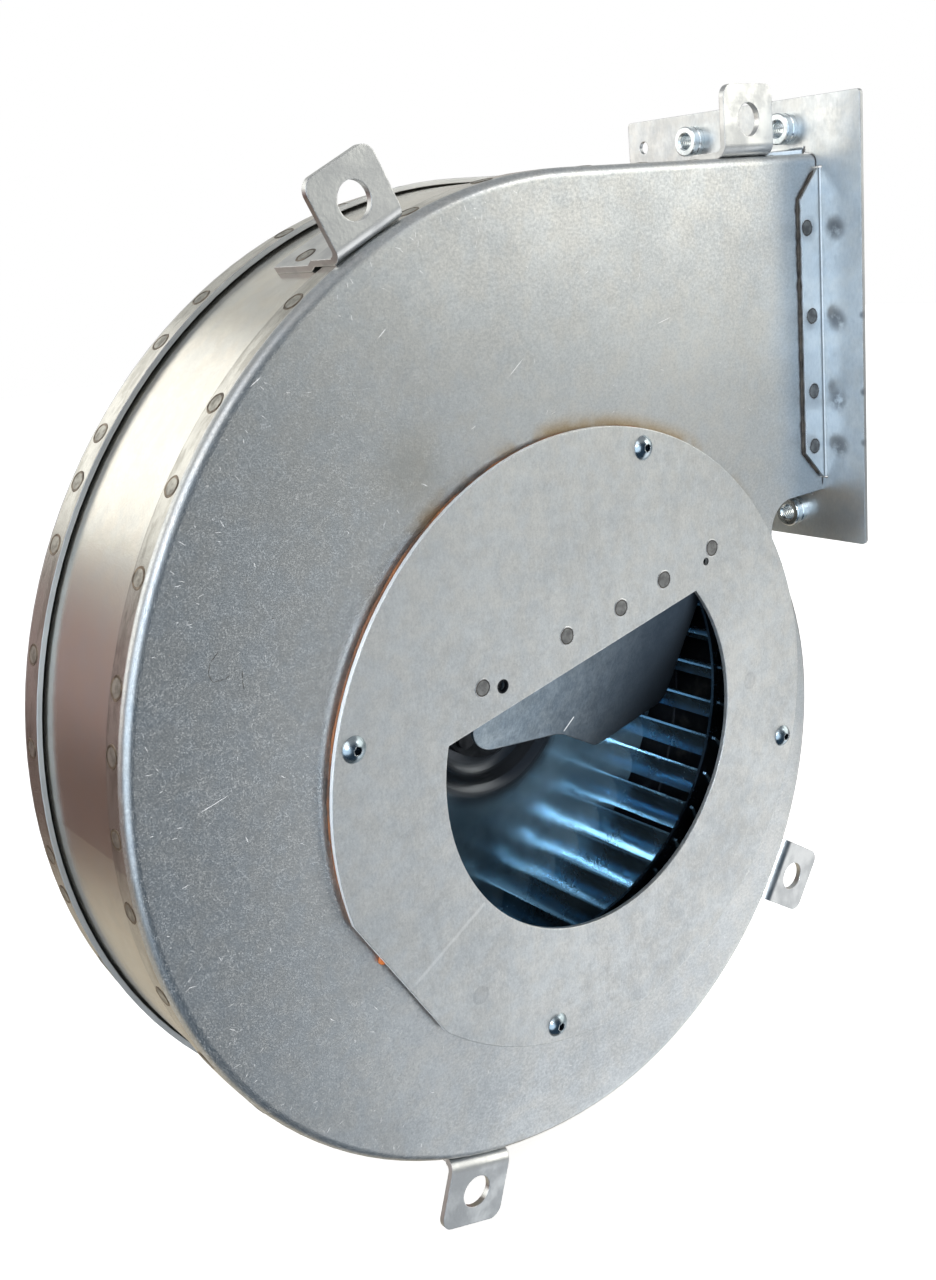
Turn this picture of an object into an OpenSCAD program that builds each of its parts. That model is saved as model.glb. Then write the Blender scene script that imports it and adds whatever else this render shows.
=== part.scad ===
// Furnace exhaust blower: a sheet-steel scroll housing with a drum impeller and a motor on spacers.
// The impeller turns about the Y axis. Y = 0 is the outer face of the inlet plate, +Y points to
// the motor, +X leaves through the outlet and +Z is up.

/* [Sheet metal] */
// Thickness of the housing, flange and inlet sheets
sheet_t = 1.5; // [1:0.1:1.8]
// Outer radius of the housing's folded edges
edge_r = 3; // [2.5:0.5:5]
// Depth of the front plate's rim over the scroll band
front_rim = 10; // [8:0.5:12]
// Depth of the rear plate's rim over the scroll band
rear_rim = 13.5; // [10:0.5:15]
// How far the rear rim's free lip stands off the band
rim_flare = 0.8; // [0.4:0.1:1.2]

/* [Scroll] */
// Gap from the impeller to the first scroll arc's outer face
scroll_gap = 16.2; // [12:0.2:20]
// Width of the rectangle that the scroll's arcs are struck from
scroll_step_x = 19.6; // [14:0.2:24]
// Height of the rectangle that the scroll's arcs are struck from
scroll_step_z = 26.4; // [20:0.2:30]
// Growth of the last scroll arc, up to the outlet's top wall
outlet_rise = 16.6; // [12:0.2:24]
// Radius of the rounded cut-off below the outlet
tongue_r = 11; // [8:0.5:14]

/* [Outlet] */
// Height of the outlet duct over its walls
outlet_h = 118; // [100:0.5:125]
// Distance from the impeller axis to the outlet's end
outlet_x = 124; // [119:1:150]
// Overhang of the flange above and below the duct
flange_over_z = 18.75; // [16:0.25:26]
// Overhang of the flange in front of the duct
flange_over_front = 18.5; // [12:0.5:26]
// Overhang of the flange behind the duct
flange_over_rear = 22; // [14:0.5:30]
// Corner radius of the flange
flange_corner_r = 1.5; // [0.5:0.5:5]
// Length of the flange's tabs along the duct
tab_l = 10.5; // [8:0.5:13]
// Bevel at each end of a tab
tab_bevel = 10; // [4:0.5:14]
// Inner radius of the bend between a tab and the flange
tab_bend_r = 1; // [0.5:0.1:1.5]
// Distance from a duct corner to the end of a tab
tab_inset = 5; // [3.5:0.5:8]
// Diameter of the flange's threaded bushes
bush_d = 10.5; // [9:0.5:12]
// Length of a bush behind the flange
bush_l = 5.5; // [4:0.5:8]
// Core diameter of the thread in a bush
bush_bore_d = 5; // [4:0.1:6]
// Diameter of the bush's shank in the flange
bush_shank_d = 8; // [7:0.1:8.5]
// Distance between the two bushes of a row
bush_pitch = 43; // [30:1:60]
// Distance of each row of bushes from the duct
bush_off = 9; // [8.5:0.25:10]
// Diameter of the locating hole in the flange
locating_d = 4.5; // [3:0.1:6]
// Distance of the locating hole from the flange's rear edge
locating_edge = 8; // [6:0.5:11]

/* [Lugs] */
// Thickness of the mounting lugs
lug_t = 2; // [1.5:0.1:2.5]
// Width of a lug
lug_w = 24; // [18:0.5:26]
// Height of a lug over the housing
lug_h = 22.5; // [18.5:0.5:28]
// Diameter of the hole in a lug
lug_hole_d = 10.5; // [6:0.5:12]
// Height of the lug's hole over the housing
lug_hole_up = 11.5; // [10.5:0.25:12.5]
// Corner radius of a lug
lug_corner_r = 4; // [2:0.5:8]
// Outer radius of the lug's bend
lug_bend_r = 4; // [3:0.25:4.5]
// Length of the lug's foot along the band
lug_foot_l = 35; // [30:0.5:40]
// Direction of the upper left lug from its scroll arc's centre
lug_left_a = 115.4; // [100:0.1:150]
// Direction of the right lug from its scroll arc's centre
lug_right_a = -35.1; // [-60:0.1:-20]
// Direction of the bottom lug from its scroll arc's centre
lug_bottom_a = -110; // [-150:0.1:-100]
// Position of the top lug along the outlet's top wall
lug_top_x = 88; // [70:1:94]

/* [Inlet] */
// Thickness of the seal under the inlet plate
seal_t = 2; // [1.6:0.1:3]
// Room for the impeller in the front plate's hole
service_gap = 3; // [2:0.5:5]
// Distance from the front plate's hole to the screws
screw_edge = 7; // [6:0.5:10]
// Distance from the screws to the inlet plate's edge
plate_margin = 6; // [4.5:0.5:8]
// Turn of the four screws about the axis
screw_turn = -16.8; // [-45:0.1:45]
// Diameter of the inlet opening
opening_d = 124; // [100:1:130]
// Tilt of the inlet opening's straight edge
chord_tilt = 10.9; // [-20:0.1:20]
// Distance of the straight edge from the axis
chord_off = 28.9; // [20:0.1:36]
// Direction of the flat on the inlet plate's edge
flat_a = -150.3; // [-160:0.1:-140]
// Depth of the flat cut from the inlet plate's edge
flat_cut = 3.8; // [2:0.1:4]
// Diameter of the inlet screws
screw_d = 4; // [3:0.5:4]
// Diameter of a screw's button head
screw_head_d = 8; // [6:0.1:8.5]
// Height of a screw's button head
screw_head_h = 2.2; // [1.5:0.1:3]
// Length of an inlet screw under its head
screw_l = 8; // [6:0.5:10]

/* [Deflector flap] */
// Thickness of the flap
flap_t = 1.2; // [0.8:0.1:1.5]
// Lean of the flap away from the inlet plate
flap_lean = 20; // [5:1:24]
// Width of the strip that is welded behind the plate
flap_strip = 17; // [14:0.5:18]
// Overhang of the strip past the flap on the right
flap_strip_over = 12; // [8:0.5:13]
// Distance of the flap's left edge from the middle of the chord
flap_left = 44.5; // [40:0.5:48]
// Distance of the flap's right edge from the middle of the chord
flap_right = 60.5; // [56:0.5:62]
// Reach of the flap at its left end
flap_narrow = 9.5; // [9:0.5:12]
// Reach of the flap's wide lobe
flap_wide = 42.5; // [36:0.5:46]
// Core diameter of the threaded hole beside the flap's first weld
flap_thread_d = 3.3; // [2.5:0.1:4]
// Diameter of the small hole beside the flap's last weld
flap_pin_d = 2.5; // [1.5:0.1:3]

/* [Impeller] */
// Outer diameter of the impeller
impeller_d = 170; // [150:1:190]
// Radial depth of the blades
blade_depth = 11; // [9:0.5:14]
// Number of blades
blade_count = 36; // [24:1:44]
// Thickness of a blade
blade_t = 0.8; // [0.6:0.1:1.2]
// Radius of a blade's curve
blade_r = 11; // [9:0.5:14]
// Length of a blade between ring and disc
blade_l = 40; // [30:1:50]
// Length of a blade's clinched tab along its curve
blade_tab = 5; // [3:0.5:7]
// How far a clinched tab stands proud
blade_tab_up = 0.7; // [0.4:0.1:1]
// Distance from the front plate's outer face to the front ring
impeller_set = 13.5; // [12:0.5:20]
// Thickness of the front ring
ring_t = 1.2; // [0.8:0.1:2]
// Thickness of the hub disc
disc_t = 1.5; // [1:0.1:2]
// Gap between the hub disc and the rear plate
rear_gap = 9.8; // [9:0.5:16]
// Diameter at which the hub disc's slight cone begins
cone_d = 122; // [110:1:130]
// Slope of the hub disc's cone towards the inlet
cone_a = 2; // [0.5:0.5:4]
// Depth of the hub's recess behind the disc's rim
recess_h = 4; // [2:0.5:6]
// Slope of the recess's wall
recess_a = 41; // [34:1:46]
// Diameter at which the recess's wall would meet its floor
floor_d = 51.5; // [51:0.5:56]
// Distance from the hub's flange to the edge of the recess's floor
hub_edge = 2; // [1.5:0.5:3]
// Thickness of the hub's flange
hub_flange_t = 3; // [2:0.5:4]
// Diameter of the hub
hub_d = 20; // [18:1:21]
// Length of the hub in front of its flange
hub_l = 12; // [10:0.5:14]
// Diameter of the hub's set screw
set_screw_d = 5; // [4:0.5:6]
// Diameter of the hub rivets
rivet_d = 4; // [3:0.5:4.5]

/* [Drive] */
// Diameter of the shaft
shaft_d = 8; // [6:0.5:10]
// Length of the shaft in front of the hub
shaft_nose = 3; // [1:0.5:6]
// Room around the shaft where it passes a plate
shaft_room = 1; // [0.5:0.1:2]
// Radial clearance of the shaft in its bearings
shaft_fit = 0.03; // [0.02:0.01:0.08]
// Diameter of the motor plate
carrier_d = 132; // [126:1:150]
// Thickness of the motor plate
carrier_t = 2; // [1.5:0.1:3]
// Width of the motor plate's seat on the rear plate
carrier_seat = 13; // [12:0.5:16]
// Thickness of the motor plate's seal
carrier_seal_t = 1.5; // [1:0.1:2.5]
// Length of the motor spacers
spacer_l = 25; // [24:0.5:40]
// Diameter of the motor spacers
spacer_d = 9; // [7:0.5:11]
// Room between the cooling disc and the motor spacers
cooler_room = 3.5; // [2:0.5:8]
// Height of the cooling disc's fins
cooler_h = 8; // [5:0.5:10]
// Number of fins on the cooling disc
cooler_fins = 12; // [8:1:18]
// Outer diameter of the motor
motor_d = 92; // [90:1:110]
// Length of the motor over its end bells
motor_l = 60; // [58:1:80]
// Thickness of the motor's walls
motor_t = 2.5; // [2:0.1:3]
// Depth of an end bell
bell_depth = 11; // [10:0.5:13]
// Distance of the motor's long bolts from its outer face
tie_in = 8; // [7:0.5:9]
// Diameter of the long bolts
tie_d = 4; // [3:0.5:4]
// Diameter of a bearing
bearing_d = 22; // [20:1:24]
// Width of a bearing
bearing_w = 7; // [6:0.5:8]
// Depth of the stator core from its outer face to its bore
stator_w = 19; // [18:0.5:22]
// Air gap between rotor and stator
air_gap = 0.5; // [0.4:0.1:1]
// Length of the stator and rotor stack
stack_l = 26; // [20:1:28]
// Number of vents in each end bell
vent_count = 8; // [4:1:8]
// Diameter of the motor's cable grommet
grommet_d = 12; // [8:0.5:14]

/* [Hidden] */
$fn = 96;
hair = 0.01;

// Stations along the axis
front_y = sheet_t + seal_t;
housing_depth = impeller_set + ring_t + blade_l + disc_t + rear_gap + sheet_t;
rear_y = front_y + housing_depth;
mid_y = front_y + housing_depth / 2;
ring_y = front_y + impeller_set;
blade_y = ring_y + ring_t;
disc_y = blade_y + blade_l;
floor_y = disc_y + recess_h;
hub_y = floor_y - hub_flange_t - hub_l;
carrier_y = rear_y + carrier_seal_t;
spacer_y = carrier_y + carrier_t;
motor_y = spacer_y + spacer_l;
motor_end = motor_y + motor_l;
stack_y = motor_y + (motor_l - stack_l) / 2;

// Radii about the axis
impeller_r = impeller_d / 2;
eye_r = impeller_r - blade_depth;
service_r = impeller_r + service_gap;
screw_r = service_r + screw_edge;
plate_r = screw_r + plate_margin;
carrier_r = carrier_d / 2;
carrier_hole_r = carrier_r - carrier_seat;
carrier_screw_r = carrier_r - carrier_seat / 2;
motor_r = motor_d / 2;
shaft_r = shaft_d / 2;

// Scroll arcs, struck from the corners of a rectangle about the axis
half_x = scroll_step_x / 2;
half_z = scroll_step_z / 2;
arc0_r = impeller_r + scroll_gap;
arc1_r = arc0_r + scroll_step_x;
arc2_r = arc1_r + scroll_step_z;
arc3_r = arc2_r + outlet_rise;
arc0_c = [half_x, -half_z];
arc1_c = [-half_x, -half_z];
arc2_c = [-half_x, half_z];
arc3_c = [outlet_rise - half_x, half_z];

// Outlet duct and cut-off
outlet_top = half_z + arc3_r;
outlet_bottom = outlet_top - outlet_h;
outlet_mid = outlet_top - outlet_h / 2;
tongue_z = outlet_bottom - tongue_r;
tongue_rise = tongue_z - arc0_c.y;
tongue_reach = sqrt(pow(arc0_r + tongue_r, 2) - pow(tongue_rise, 2));
tongue_c = [arc0_c.x + tongue_reach, tongue_z];
tongue_a = atan2(tongue_rise, tongue_reach);
cutoff_a = tongue_a - 4;
cutoff_reach = 2 * outlet_x;
flange_x = outlet_x - sheet_t;
tab_gap = sheet_t + tab_bend_r;
tab_relief = 0.6;
duct_fit = 0.3;

// Bushes in Y and Z of the flange, and their turned details
bush_places = [for (side = [-1, 1], z = [outlet_bottom - bush_off, outlet_top + bush_off])
               [mid_y + side * bush_pitch / 2, z]];
groove_y = 0.35 * bush_l;
groove_h = 0.5;
bush_edge = 0.4;
countersink = 0.7;

lip_l = 2;

// Fits
screw_fit = 0.05;
screw_room = 0.3;
slot_room = 0.1;
bearing_step = 1;
seal_inset = 0.7;
joggle_l = 3;
joggle_room = 4;
lug_lap = 0.4;
key_l = 0.5;

// Deflector flap, measured along and down from its bend at the chord
flap_drop = 1;
flap_strip_end = 3;
flap_lap = 0.5;
flap_hole_up = 7.6;
flap_thread_x = -31;
flap_pin_x = 62;
flap_knee = [7.2, 25.1];
flap_shoulder = 10.6;
flap_heel = 45;
flap_lobe_r = 14;
flap_knee_r = 20;
flap_corner_r = 6;
corner_steps = 8;

// Blade curve: its centre lies ahead of the blade's inner edge, which stands radially
blade_c_r = sqrt(pow(eye_r, 2) + pow(blade_r, 2));
blade_c_a = atan2(blade_r, eye_r);
tab_mid_r = impeller_r - blade_depth / 2;

// Hub disc: a flat rim, a slight cone, and a recess with a bend above and below its wall
cone_r = cone_d / 2;
floor_r = floor_d / 2;
cone_m = tan(cone_a);
wall_m = tan(recess_a);
recess_top_r = (recess_h + cone_m * cone_r + wall_m * floor_r) / (wall_m + cone_m);
recess_top_y = disc_y - cone_m * (cone_r - recess_top_r);
wall_l = (floor_y - recess_top_y) / sin(recess_a);
recess_r = 0.96 * wall_l / (tan(recess_a / 2) + tan((recess_a + cone_a) / 2));

// Hub
hub_flange_r = floor_r - recess_r * tan(recess_a / 2) - hub_edge;
rivet_r = (hub_d / 2 + hub_flange_r) / 2;
rivet_turn = 45;
rivet_count = 4;
rivet_head = 1.6;

// Motor details
tie_r = motor_r - tie_in;
rotor_r = motor_r - motor_t - stator_w - air_gap;
cooler_r = tie_r - spacer_d / 2 - cooler_room;
nut_h = 3.2;
nut_d = 8;
tie_head_h = 2.8;
cooler_t = 3;
cooler_hub_d = 18;
cooler_gap = 4;
cooler_fin_t = 1.4;
winding_h = 8;
winding_in = 3;
winding_out = 4;
slot_count = 12;
slot_w = 5;
vent_w = 7;
vent_edge = 3;
vent_in_r = bearing_d / 2 + motor_t + vent_edge + vent_w / 2;
vent_out_r = tie_r - vent_w;
bush_wall = 4;

grommet_wall = 1.5;
grommet_out = 3;

steel = [0.72, 0.73, 0.74];
bright = [0.80, 0.83, 0.86];
lacquer = [0.06, 0.09, 0.13];
orange = [0.74, 0.30, 0.12];
graphite = [0.25, 0.25, 0.26];

// Extrudes a shape drawn in X and Z towards +Y
module sheet_y(y, t) {
    translate([0, y + t, 0])
        rotate([90, 0, 0])
            linear_extrude(t)
                children();
}

// Extrudes a shape drawn in Y and Z towards +X
module sheet_x(x, t) {
    translate([x, 0, 0])
        rotate([90, 0, 90])
            linear_extrude(t)
                children();
}

// Turns a section drawn in radius and Y about the Y axis, between two angles from +X to +Z
module turn_y(a0 = 0, a1 = 360) {
    rotate([-90, 0, 0])
        rotate([0, 0, -a1])
            rotate_extrude(angle = a1 - a0)
                children();
}

// Moves a piece to a point of the X and Z plane
module at(p) {
    translate([p.x, 0, p.y])
        children();
}

// Repeats a piece round the Y axis
module ring_of(count, turn = 0) {
    for (i = [0 : count - 1])
        rotate([0, -turn - i * 360 / count, 0])
            children();
}

module rounded_rect(low, high, r) {
    translate([low.x + r, low.y])
        square([high.x - low.x - 2 * r, high.y - low.y]);
    translate([low.x, low.y + r])
        square([high.x - low.x, high.y - low.y - 2 * r]);
    for (x = [low.x + r, high.x - r], y = [low.y + r, high.y - r])
        translate([x, y])
            circle(r);
}

// Quarter of a disc about a centre, towards the signs of side
module quarter(c, r, side) {
    translate(c)
        intersection() {
            circle(r);
            scale([side.x, side.y])
                square(r);
        }
}

// Quarter of a bent sheet: outer radius r, thickness t, corner at the origin
module bend_section(r, t) {
    intersection() {
        translate([r, r])
            difference() {
                circle(r);
                circle(r - t);
            }
        square(r);
    }
}

// Strips inside the sheet that tie both ends of a bend to the flat sheets beside it
module bend_keys(r, t) {
    translate([r - key_l, t / 3])
        square([2 * key_l, t / 3]);
    translate([t / 3, r - key_l])
        square([t / 3, 2 * key_l]);
}

module keyed_bend(r, t) {
    bend_section(r, t);
    bend_keys(r, t);
}

// Outline of the scroll and its outlet duct, drawn in by inset from the outer faces
module scroll_profile(inset) {
    translate(arc0_c)
        circle(arc0_r - inset);
    quarter(arc1_c, arc1_r - inset, [1, -1]);
    quarter(arc2_c, arc2_r - inset, [-1, -1]);
    quarter(arc3_c, arc3_r - inset, [-1, 1]);
    translate([arc3_c.x, outlet_bottom + inset])
        square([outlet_x - arc3_c.x, outlet_h - 2 * inset]);
    difference() {
        polygon([arc0_c, tongue_c, [tongue_c.x, outlet_bottom + inset], [arc0_c.x, outlet_bottom + inset]]);
        translate(tongue_c)
            circle(tongue_r + inset);
    }
}

// Wall of the scroll, inwards from inset
module scroll_ring(inset, t = sheet_t) {
    difference() {
        scroll_profile(inset);
        scroll_profile(inset + t);
    }
}

// Keeps the part of an outline round the cut-off, where the edges are folded sharp
module cutoff_part() {
    intersection() {
        children();
        polygon([arc0_c, arc0_c + cutoff_reach * [cos(cutoff_a), sin(cutoff_a)],
                 [cutoff_reach, outlet_mid], [arc0_c.x, outlet_mid]]);
    }
}

// Turns a section drawn inwards from radius r, so that its origin lies on the outer face
module outside(r) {
    translate([r, 0])
        mirror([1, 0])
            children();
}

// Runs a section along the round of the scroll and its top wall as far as x
module along_scroll(x) {
    at(arc1_c)
        turn_y(-90, 0)
            outside(arc1_r)
                children();
    at(arc2_c)
        turn_y(-180, -90)
            outside(arc2_r)
                children();
    at(arc3_c)
        turn_y(90, 180)
            outside(arc3_r)
                children();
    sheet_x(arc3_c.x, x - arc3_c.x)
        mirror([1, -1])
            outside(outlet_top)
                children();
}

// One side of the housing: a flat plate with its rim folded along the scroll, plate face at Y = 0
module side_shell(rim) {
    sheet_y(0, sheet_t) {
        scroll_profile(edge_r);
        cutoff_part()
            scroll_profile(0);
    }
    sheet_y(0, edge_r)
        cutoff_part()
            scroll_ring(0);
    sheet_y(edge_r - key_l, 2 * key_l)
        cutoff_part()
            scroll_ring(sheet_t / 3, sheet_t / 3);
    sheet_y(edge_r, rim - edge_r)
        scroll_ring(0);
    along_scroll(outlet_x)
        keyed_bend(edge_r, sheet_t);
    at(arc0_c)
        rotate([-90, 0, 0])
            rotate_extrude(angle = -cutoff_a - 1)
                outside(arc0_r)
                    keyed_bend(edge_r, sheet_t);
}

// Free lip of the rear rim, bent off the band; the flange's tabs lie where it stops
module rim_lip(rim) {
    along_scroll(flange_x - tab_l - lip_l) {
        polygon([[0, rim - lip_l], [sheet_t, rim - lip_l], [sheet_t - rim_flare, rim], [-rim_flare, rim]]);
        translate([sheet_t / 3, rim - lip_l - key_l])
            square([sheet_t / 3, 2 * key_l]);
    }
}

module front_side_plate() {
    color(steel)
        difference() {
            translate([0, front_y, 0])
                side_shell(front_rim);
            sheet_y(front_y - hair, sheet_t + 2 * hair) {
                circle(service_r);
                inlet_screw_places()
                    circle(screw_d / 2 + screw_fit);
            }
        }
}

module rear_side_plate() {
    color(steel)
        difference() {
            translate([0, rear_y, 0])
                mirror([0, 1, 0]) {
                    side_shell(rear_rim - lip_l);
                    rim_lip(rear_rim);
                }
            sheet_y(rear_y - sheet_t - hair, sheet_t + 2 * hair) {
                circle(carrier_hole_r);
                carrier_screw_places()
                    circle(screw_d / 2 + screw_fit);
            }
        }
}

module scroll_band() {
    color(steel)
        sheet_y(front_y + edge_r, housing_depth - 2 * edge_r)
            scroll_ring(sheet_t);
}

// Tab folded back from the flange: X behind the flange, Y away from the duct wall, Z along the wall
module flange_tab(l) {
    intersection() {
        linear_extrude(l, center = true) {
            translate([-tab_l, 0])
                square([tab_l - tab_bend_r, sheet_t]);
            translate([sheet_t, 0])
                mirror([1, 0])
                    keyed_bend(tab_gap, sheet_t);
        }
        translate([0, tab_gap + key_l, 0])
            rotate([90, 0, 0])
                linear_extrude(tab_gap + key_l)
                    polygon([[sheet_t, -l / 2], [-tab_bend_r, -l / 2], [-tab_l, tab_bevel - l / 2],
                             [-tab_l, l / 2 - tab_bevel], [-tab_bend_r, l / 2], [sheet_t, l / 2]]);
    }
}

// Hole of the flange: round the duct's end, and wider where a tab bends out of it
module duct_hole() {
    room = tab_inset - tab_relief;
    rounded_rect([front_y - duct_fit, outlet_bottom - duct_fit], [rear_y + duct_fit, outlet_top + duct_fit],
                 edge_r + duct_fit);
    translate([front_y - tab_gap, outlet_bottom + room])
        square([housing_depth + 2 * tab_gap, outlet_h - 2 * room]);
    translate([front_y + room, outlet_bottom - tab_gap])
        square([housing_depth - 2 * room, outlet_h + 2 * tab_gap]);
}

module outlet_flange() {
    low = [front_y - flange_over_front, outlet_bottom - flange_over_z];
    high = [rear_y + flange_over_rear, outlet_top + flange_over_z];
    color(steel) {
        sheet_x(flange_x, sheet_t)
            difference() {
                rounded_rect(low, high, flange_corner_r);
                duct_hole();
                for (p = bush_places)
                    translate(p)
                        circle(bush_shank_d / 2);
                translate([high.x - locating_edge, outlet_top + bush_off])
                    circle(locating_d / 2);
            }
        translate([flange_x, front_y, outlet_mid])
            rotate([180, 0, 0])
                flange_tab(outlet_h - 2 * tab_inset);
        translate([flange_x, rear_y, outlet_mid])
            flange_tab(outlet_h - 2 * tab_inset);
        translate([flange_x, mid_y, outlet_top])
            rotate([90, 0, 0])
                flange_tab(housing_depth - 2 * tab_inset);
        translate([flange_x, mid_y, outlet_bottom])
            rotate([-90, 0, 0])
                flange_tab(housing_depth - 2 * tab_inset);
    }
}

// Bush turned round its bore: shank in the flange, grooved collar behind it, countersunk mouth
module flange_bushes() {
    r = bush_d / 2;
    bore = bush_bore_d / 2;
    color(bright)
        for (p = bush_places)
            translate([flange_x, p.x, p.y])
                rotate([0, 90, 0])
                    rotate_extrude()
                        polygon([[bore, sheet_t], [bush_shank_d / 2, sheet_t], [bush_shank_d / 2, 0], [r, 0],
                                 [r, -groove_y], [r - groove_h, -groove_y - groove_h],
                                 [r, -groove_y - 2 * groove_h], [r, bush_edge - bush_l],
                                 [r - bush_edge, -bush_l], [bore + countersink, -bush_l],
                                 [bore, countersink - bush_l]]);
}

// Section of a lug's foot over the front rim and down onto the band, above a base height
module lug_foot_section(base) {
    start = front_y + lug_bend_r - lug_lap;
    step = front_y + front_rim + joggle_room;
    end = front_y + lug_foot_l;
    polygon([[base, start], [base, step], [base - sheet_t, step + joggle_l], [base - sheet_t, end],
             [base - sheet_t + lug_t, end], [base - sheet_t + lug_t, step + joggle_l],
             [base + lug_t, step], [base + lug_t, start]]);
}

// Outline of a lug seen from the front, with its hole
module lug_outline(base) {
    difference() {
        union() {
            translate([-lug_w / 2, base - lug_bend_r])
                square([lug_w, lug_h + lug_bend_r - lug_corner_r]);
            translate([lug_corner_r - lug_w / 2, base])
                square([lug_w - 2 * lug_corner_r, lug_h]);
            for (side = [-1, 1])
                translate([side * (lug_w / 2 - lug_corner_r), base + lug_h - lug_corner_r])
                    circle(lug_corner_r);
        }
        translate([0, base + lug_hole_up])
            circle(lug_hole_d / 2);
    }
}

// A lug's upright and bend, standing on a base height above the local origin
module lug_upright(base) {
    intersection() {
        sheet_x(-lug_w, 2 * lug_w)
            translate([front_y, base])
                difference() {
                    intersection() {
                        union() {
                            translate([lug_bend_r, lug_bend_r])
                                circle(lug_bend_r);
                            translate([0, lug_bend_r])
                                square([lug_bend_r, 2 * lug_h]);
                        }
                        square([lug_bend_r, lug_h + lug_bend_r]);
                    }
                    translate([lug_bend_r, lug_bend_r])
                        circle(lug_bend_r - lug_t);
                    translate([lug_t, lug_bend_r])
                        square([lug_bend_r, 2 * lug_h]);
                }
        sheet_y(front_y - lug_bend_r, 3 * lug_bend_r)
            lug_outline(base);
    }
}

// A lug on a scroll arc, in the direction a from the arc's centre
module arc_lug(c, r, a) {
    spread = asin(lug_w / 2 / (r + lug_t));
    at(c)
        rotate([0, 90 - a, 0]) {
            lug_upright(r);
            turn_y(90 - spread, 90 + spread)
                lug_foot_section(r);
        }
}

module lug_upper_left() {
    color(bright)
        arc_lug(arc3_c, arc3_r, lug_left_a);
}

module lug_top() {
    color(bright)
        translate([lug_top_x, 0, 0]) {
            lug_upright(outlet_top);
            sheet_x(-lug_w / 2, lug_w)
                mirror([1, -1])
                    lug_foot_section(outlet_top);
        }
}

module lug_right() {
    color(bright)
        arc_lug(arc1_c, arc1_r, lug_right_a);
}

module lug_bottom() {
    color(bright)
        arc_lug(arc2_c, arc2_r, lug_bottom_a);
}

module inlet_screw_places() {
    for (i = [0 : 3])
        rotate(screw_turn + i * 90)
            translate([screw_r, 0])
                children();
}

module carrier_screw_places() {
    for (i = [0 : 3])
        rotate(45 + i * 90)
            translate([carrier_screw_r, 0])
                children();
}

// Round outline with the flat on its lower left
module inlet_outline(inset) {
    difference() {
        circle(plate_r - inset);
        rotate(flat_a)
            translate([plate_r - flat_cut - inset, -plate_r])
                square([plate_r, 2 * plate_r]);
    }
}

// Holes through the plate and the flap's strip, turned with the chord
module flap_holes() {
    translate([flap_thread_x, chord_off + flap_hole_up])
        circle(flap_thread_d / 2);
    translate([flap_pin_x, chord_off + flap_hole_up])
        circle(flap_pin_d / 2);
}

module inlet_plate() {
    color(steel)
        sheet_y(0, sheet_t)
            difference() {
                inlet_outline(0);
                difference() {
                    circle(opening_d / 2);
                    rotate(chord_tilt)
                        translate([-opening_d, chord_off])
                            square([2 * opening_d, opening_d]);
                }
                inlet_screw_places()
                    circle(screw_d / 2 + screw_room);
                rotate(chord_tilt)
                    flap_holes();
            }
}

module inlet_seal() {
    color(orange)
        sheet_y(sheet_t, seal_t)
            difference() {
                inlet_outline(seal_inset);
                circle(service_r + seal_inset);
                inlet_screw_places()
                    circle(screw_d / 2 + screw_room);
            }
}

// Points of a rounded corner at q, between the neighbours p and s
function unit(v) = v / norm(v);
function reverse(list) = [for (i = [len(list) - 1 : -1 : 0]) list[i]];
function least_turn(a, b) = (b - a) - 360 * round((b - a) / 360);
function corner_arc(p, q, s, r) =
    let (u = unit(p - q), v = unit(s - q), half = acos(u * v) / 2)
    let (c = q + unit(u + v) * r / sin(half))
    let (from = q + u * r / tan(half) - c, to = q + v * r / tan(half) - c)
    let (a = atan2(from.y, from.x), turn = least_turn(a, atan2(to.y, to.x)) / corner_steps)
    [for (i = [0 : corner_steps]) c + r * [cos(a + turn * i), sin(a + turn * i)]];

// Free leaf of the flap, drawn downwards from its bend
module flap_leaf() {
    start = [-flap_left, flap_lap];
    lobe = [-flap_left, -flap_narrow];
    knee = [-flap_knee.x, -flap_knee.y];
    shoulder = [flap_shoulder, -flap_wide];
    heel = [flap_heel, -flap_wide];
    end = [flap_right, flap_lap];
    polygon(concat([start], corner_arc(start, lobe, knee, flap_lobe_r),
                   corner_arc(lobe, knee, shoulder, flap_knee_r),
                   corner_arc(knee, shoulder, heel, flap_corner_r),
                   corner_arc(shoulder, heel, end, flap_corner_r), [end]));
}

module deflector_flap() {
    strip_l = flap_strip_end + flap_left + flap_right + flap_strip_over;
    color(steel)
        rotate([0, -chord_tilt, 0]) {
            sheet_y(sheet_t, flap_t)
                difference() {
                    translate([-flap_left - flap_strip_end, chord_off - flap_drop])
                        square([strip_l, flap_strip + flap_drop]);
                    flap_holes();
                }
            translate([0, sheet_t, chord_off - flap_drop])
                rotate([flap_lean, 0, 0])
                    sheet_y(0, flap_t)
                        flap_leaf();
        }
}

// Button-head screw along +Y, head in front of Y = 0
module button_screw(l) {
    turn_y()
        square([screw_d / 2, l]);
    difference() {
        turn_y()
            intersection() {
                translate([0, screw_head_d * screw_head_d / 8 / screw_head_h - screw_head_h / 2])
                    circle(screw_head_d * screw_head_d / 8 / screw_head_h + screw_head_h / 2);
                translate([0, -screw_head_h])
                    square([screw_head_d / 2, screw_head_h]);
            }
        sheet_y(-screw_head_h - hair, screw_head_h * 0.7)
            circle(screw_head_d * 0.17, $fn = 6);
    }
}

module inlet_screws() {
    color(bright)
        ring_of(4, screw_turn)
            translate([screw_r, 0, 0])
                button_screw(screw_l);
}

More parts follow.
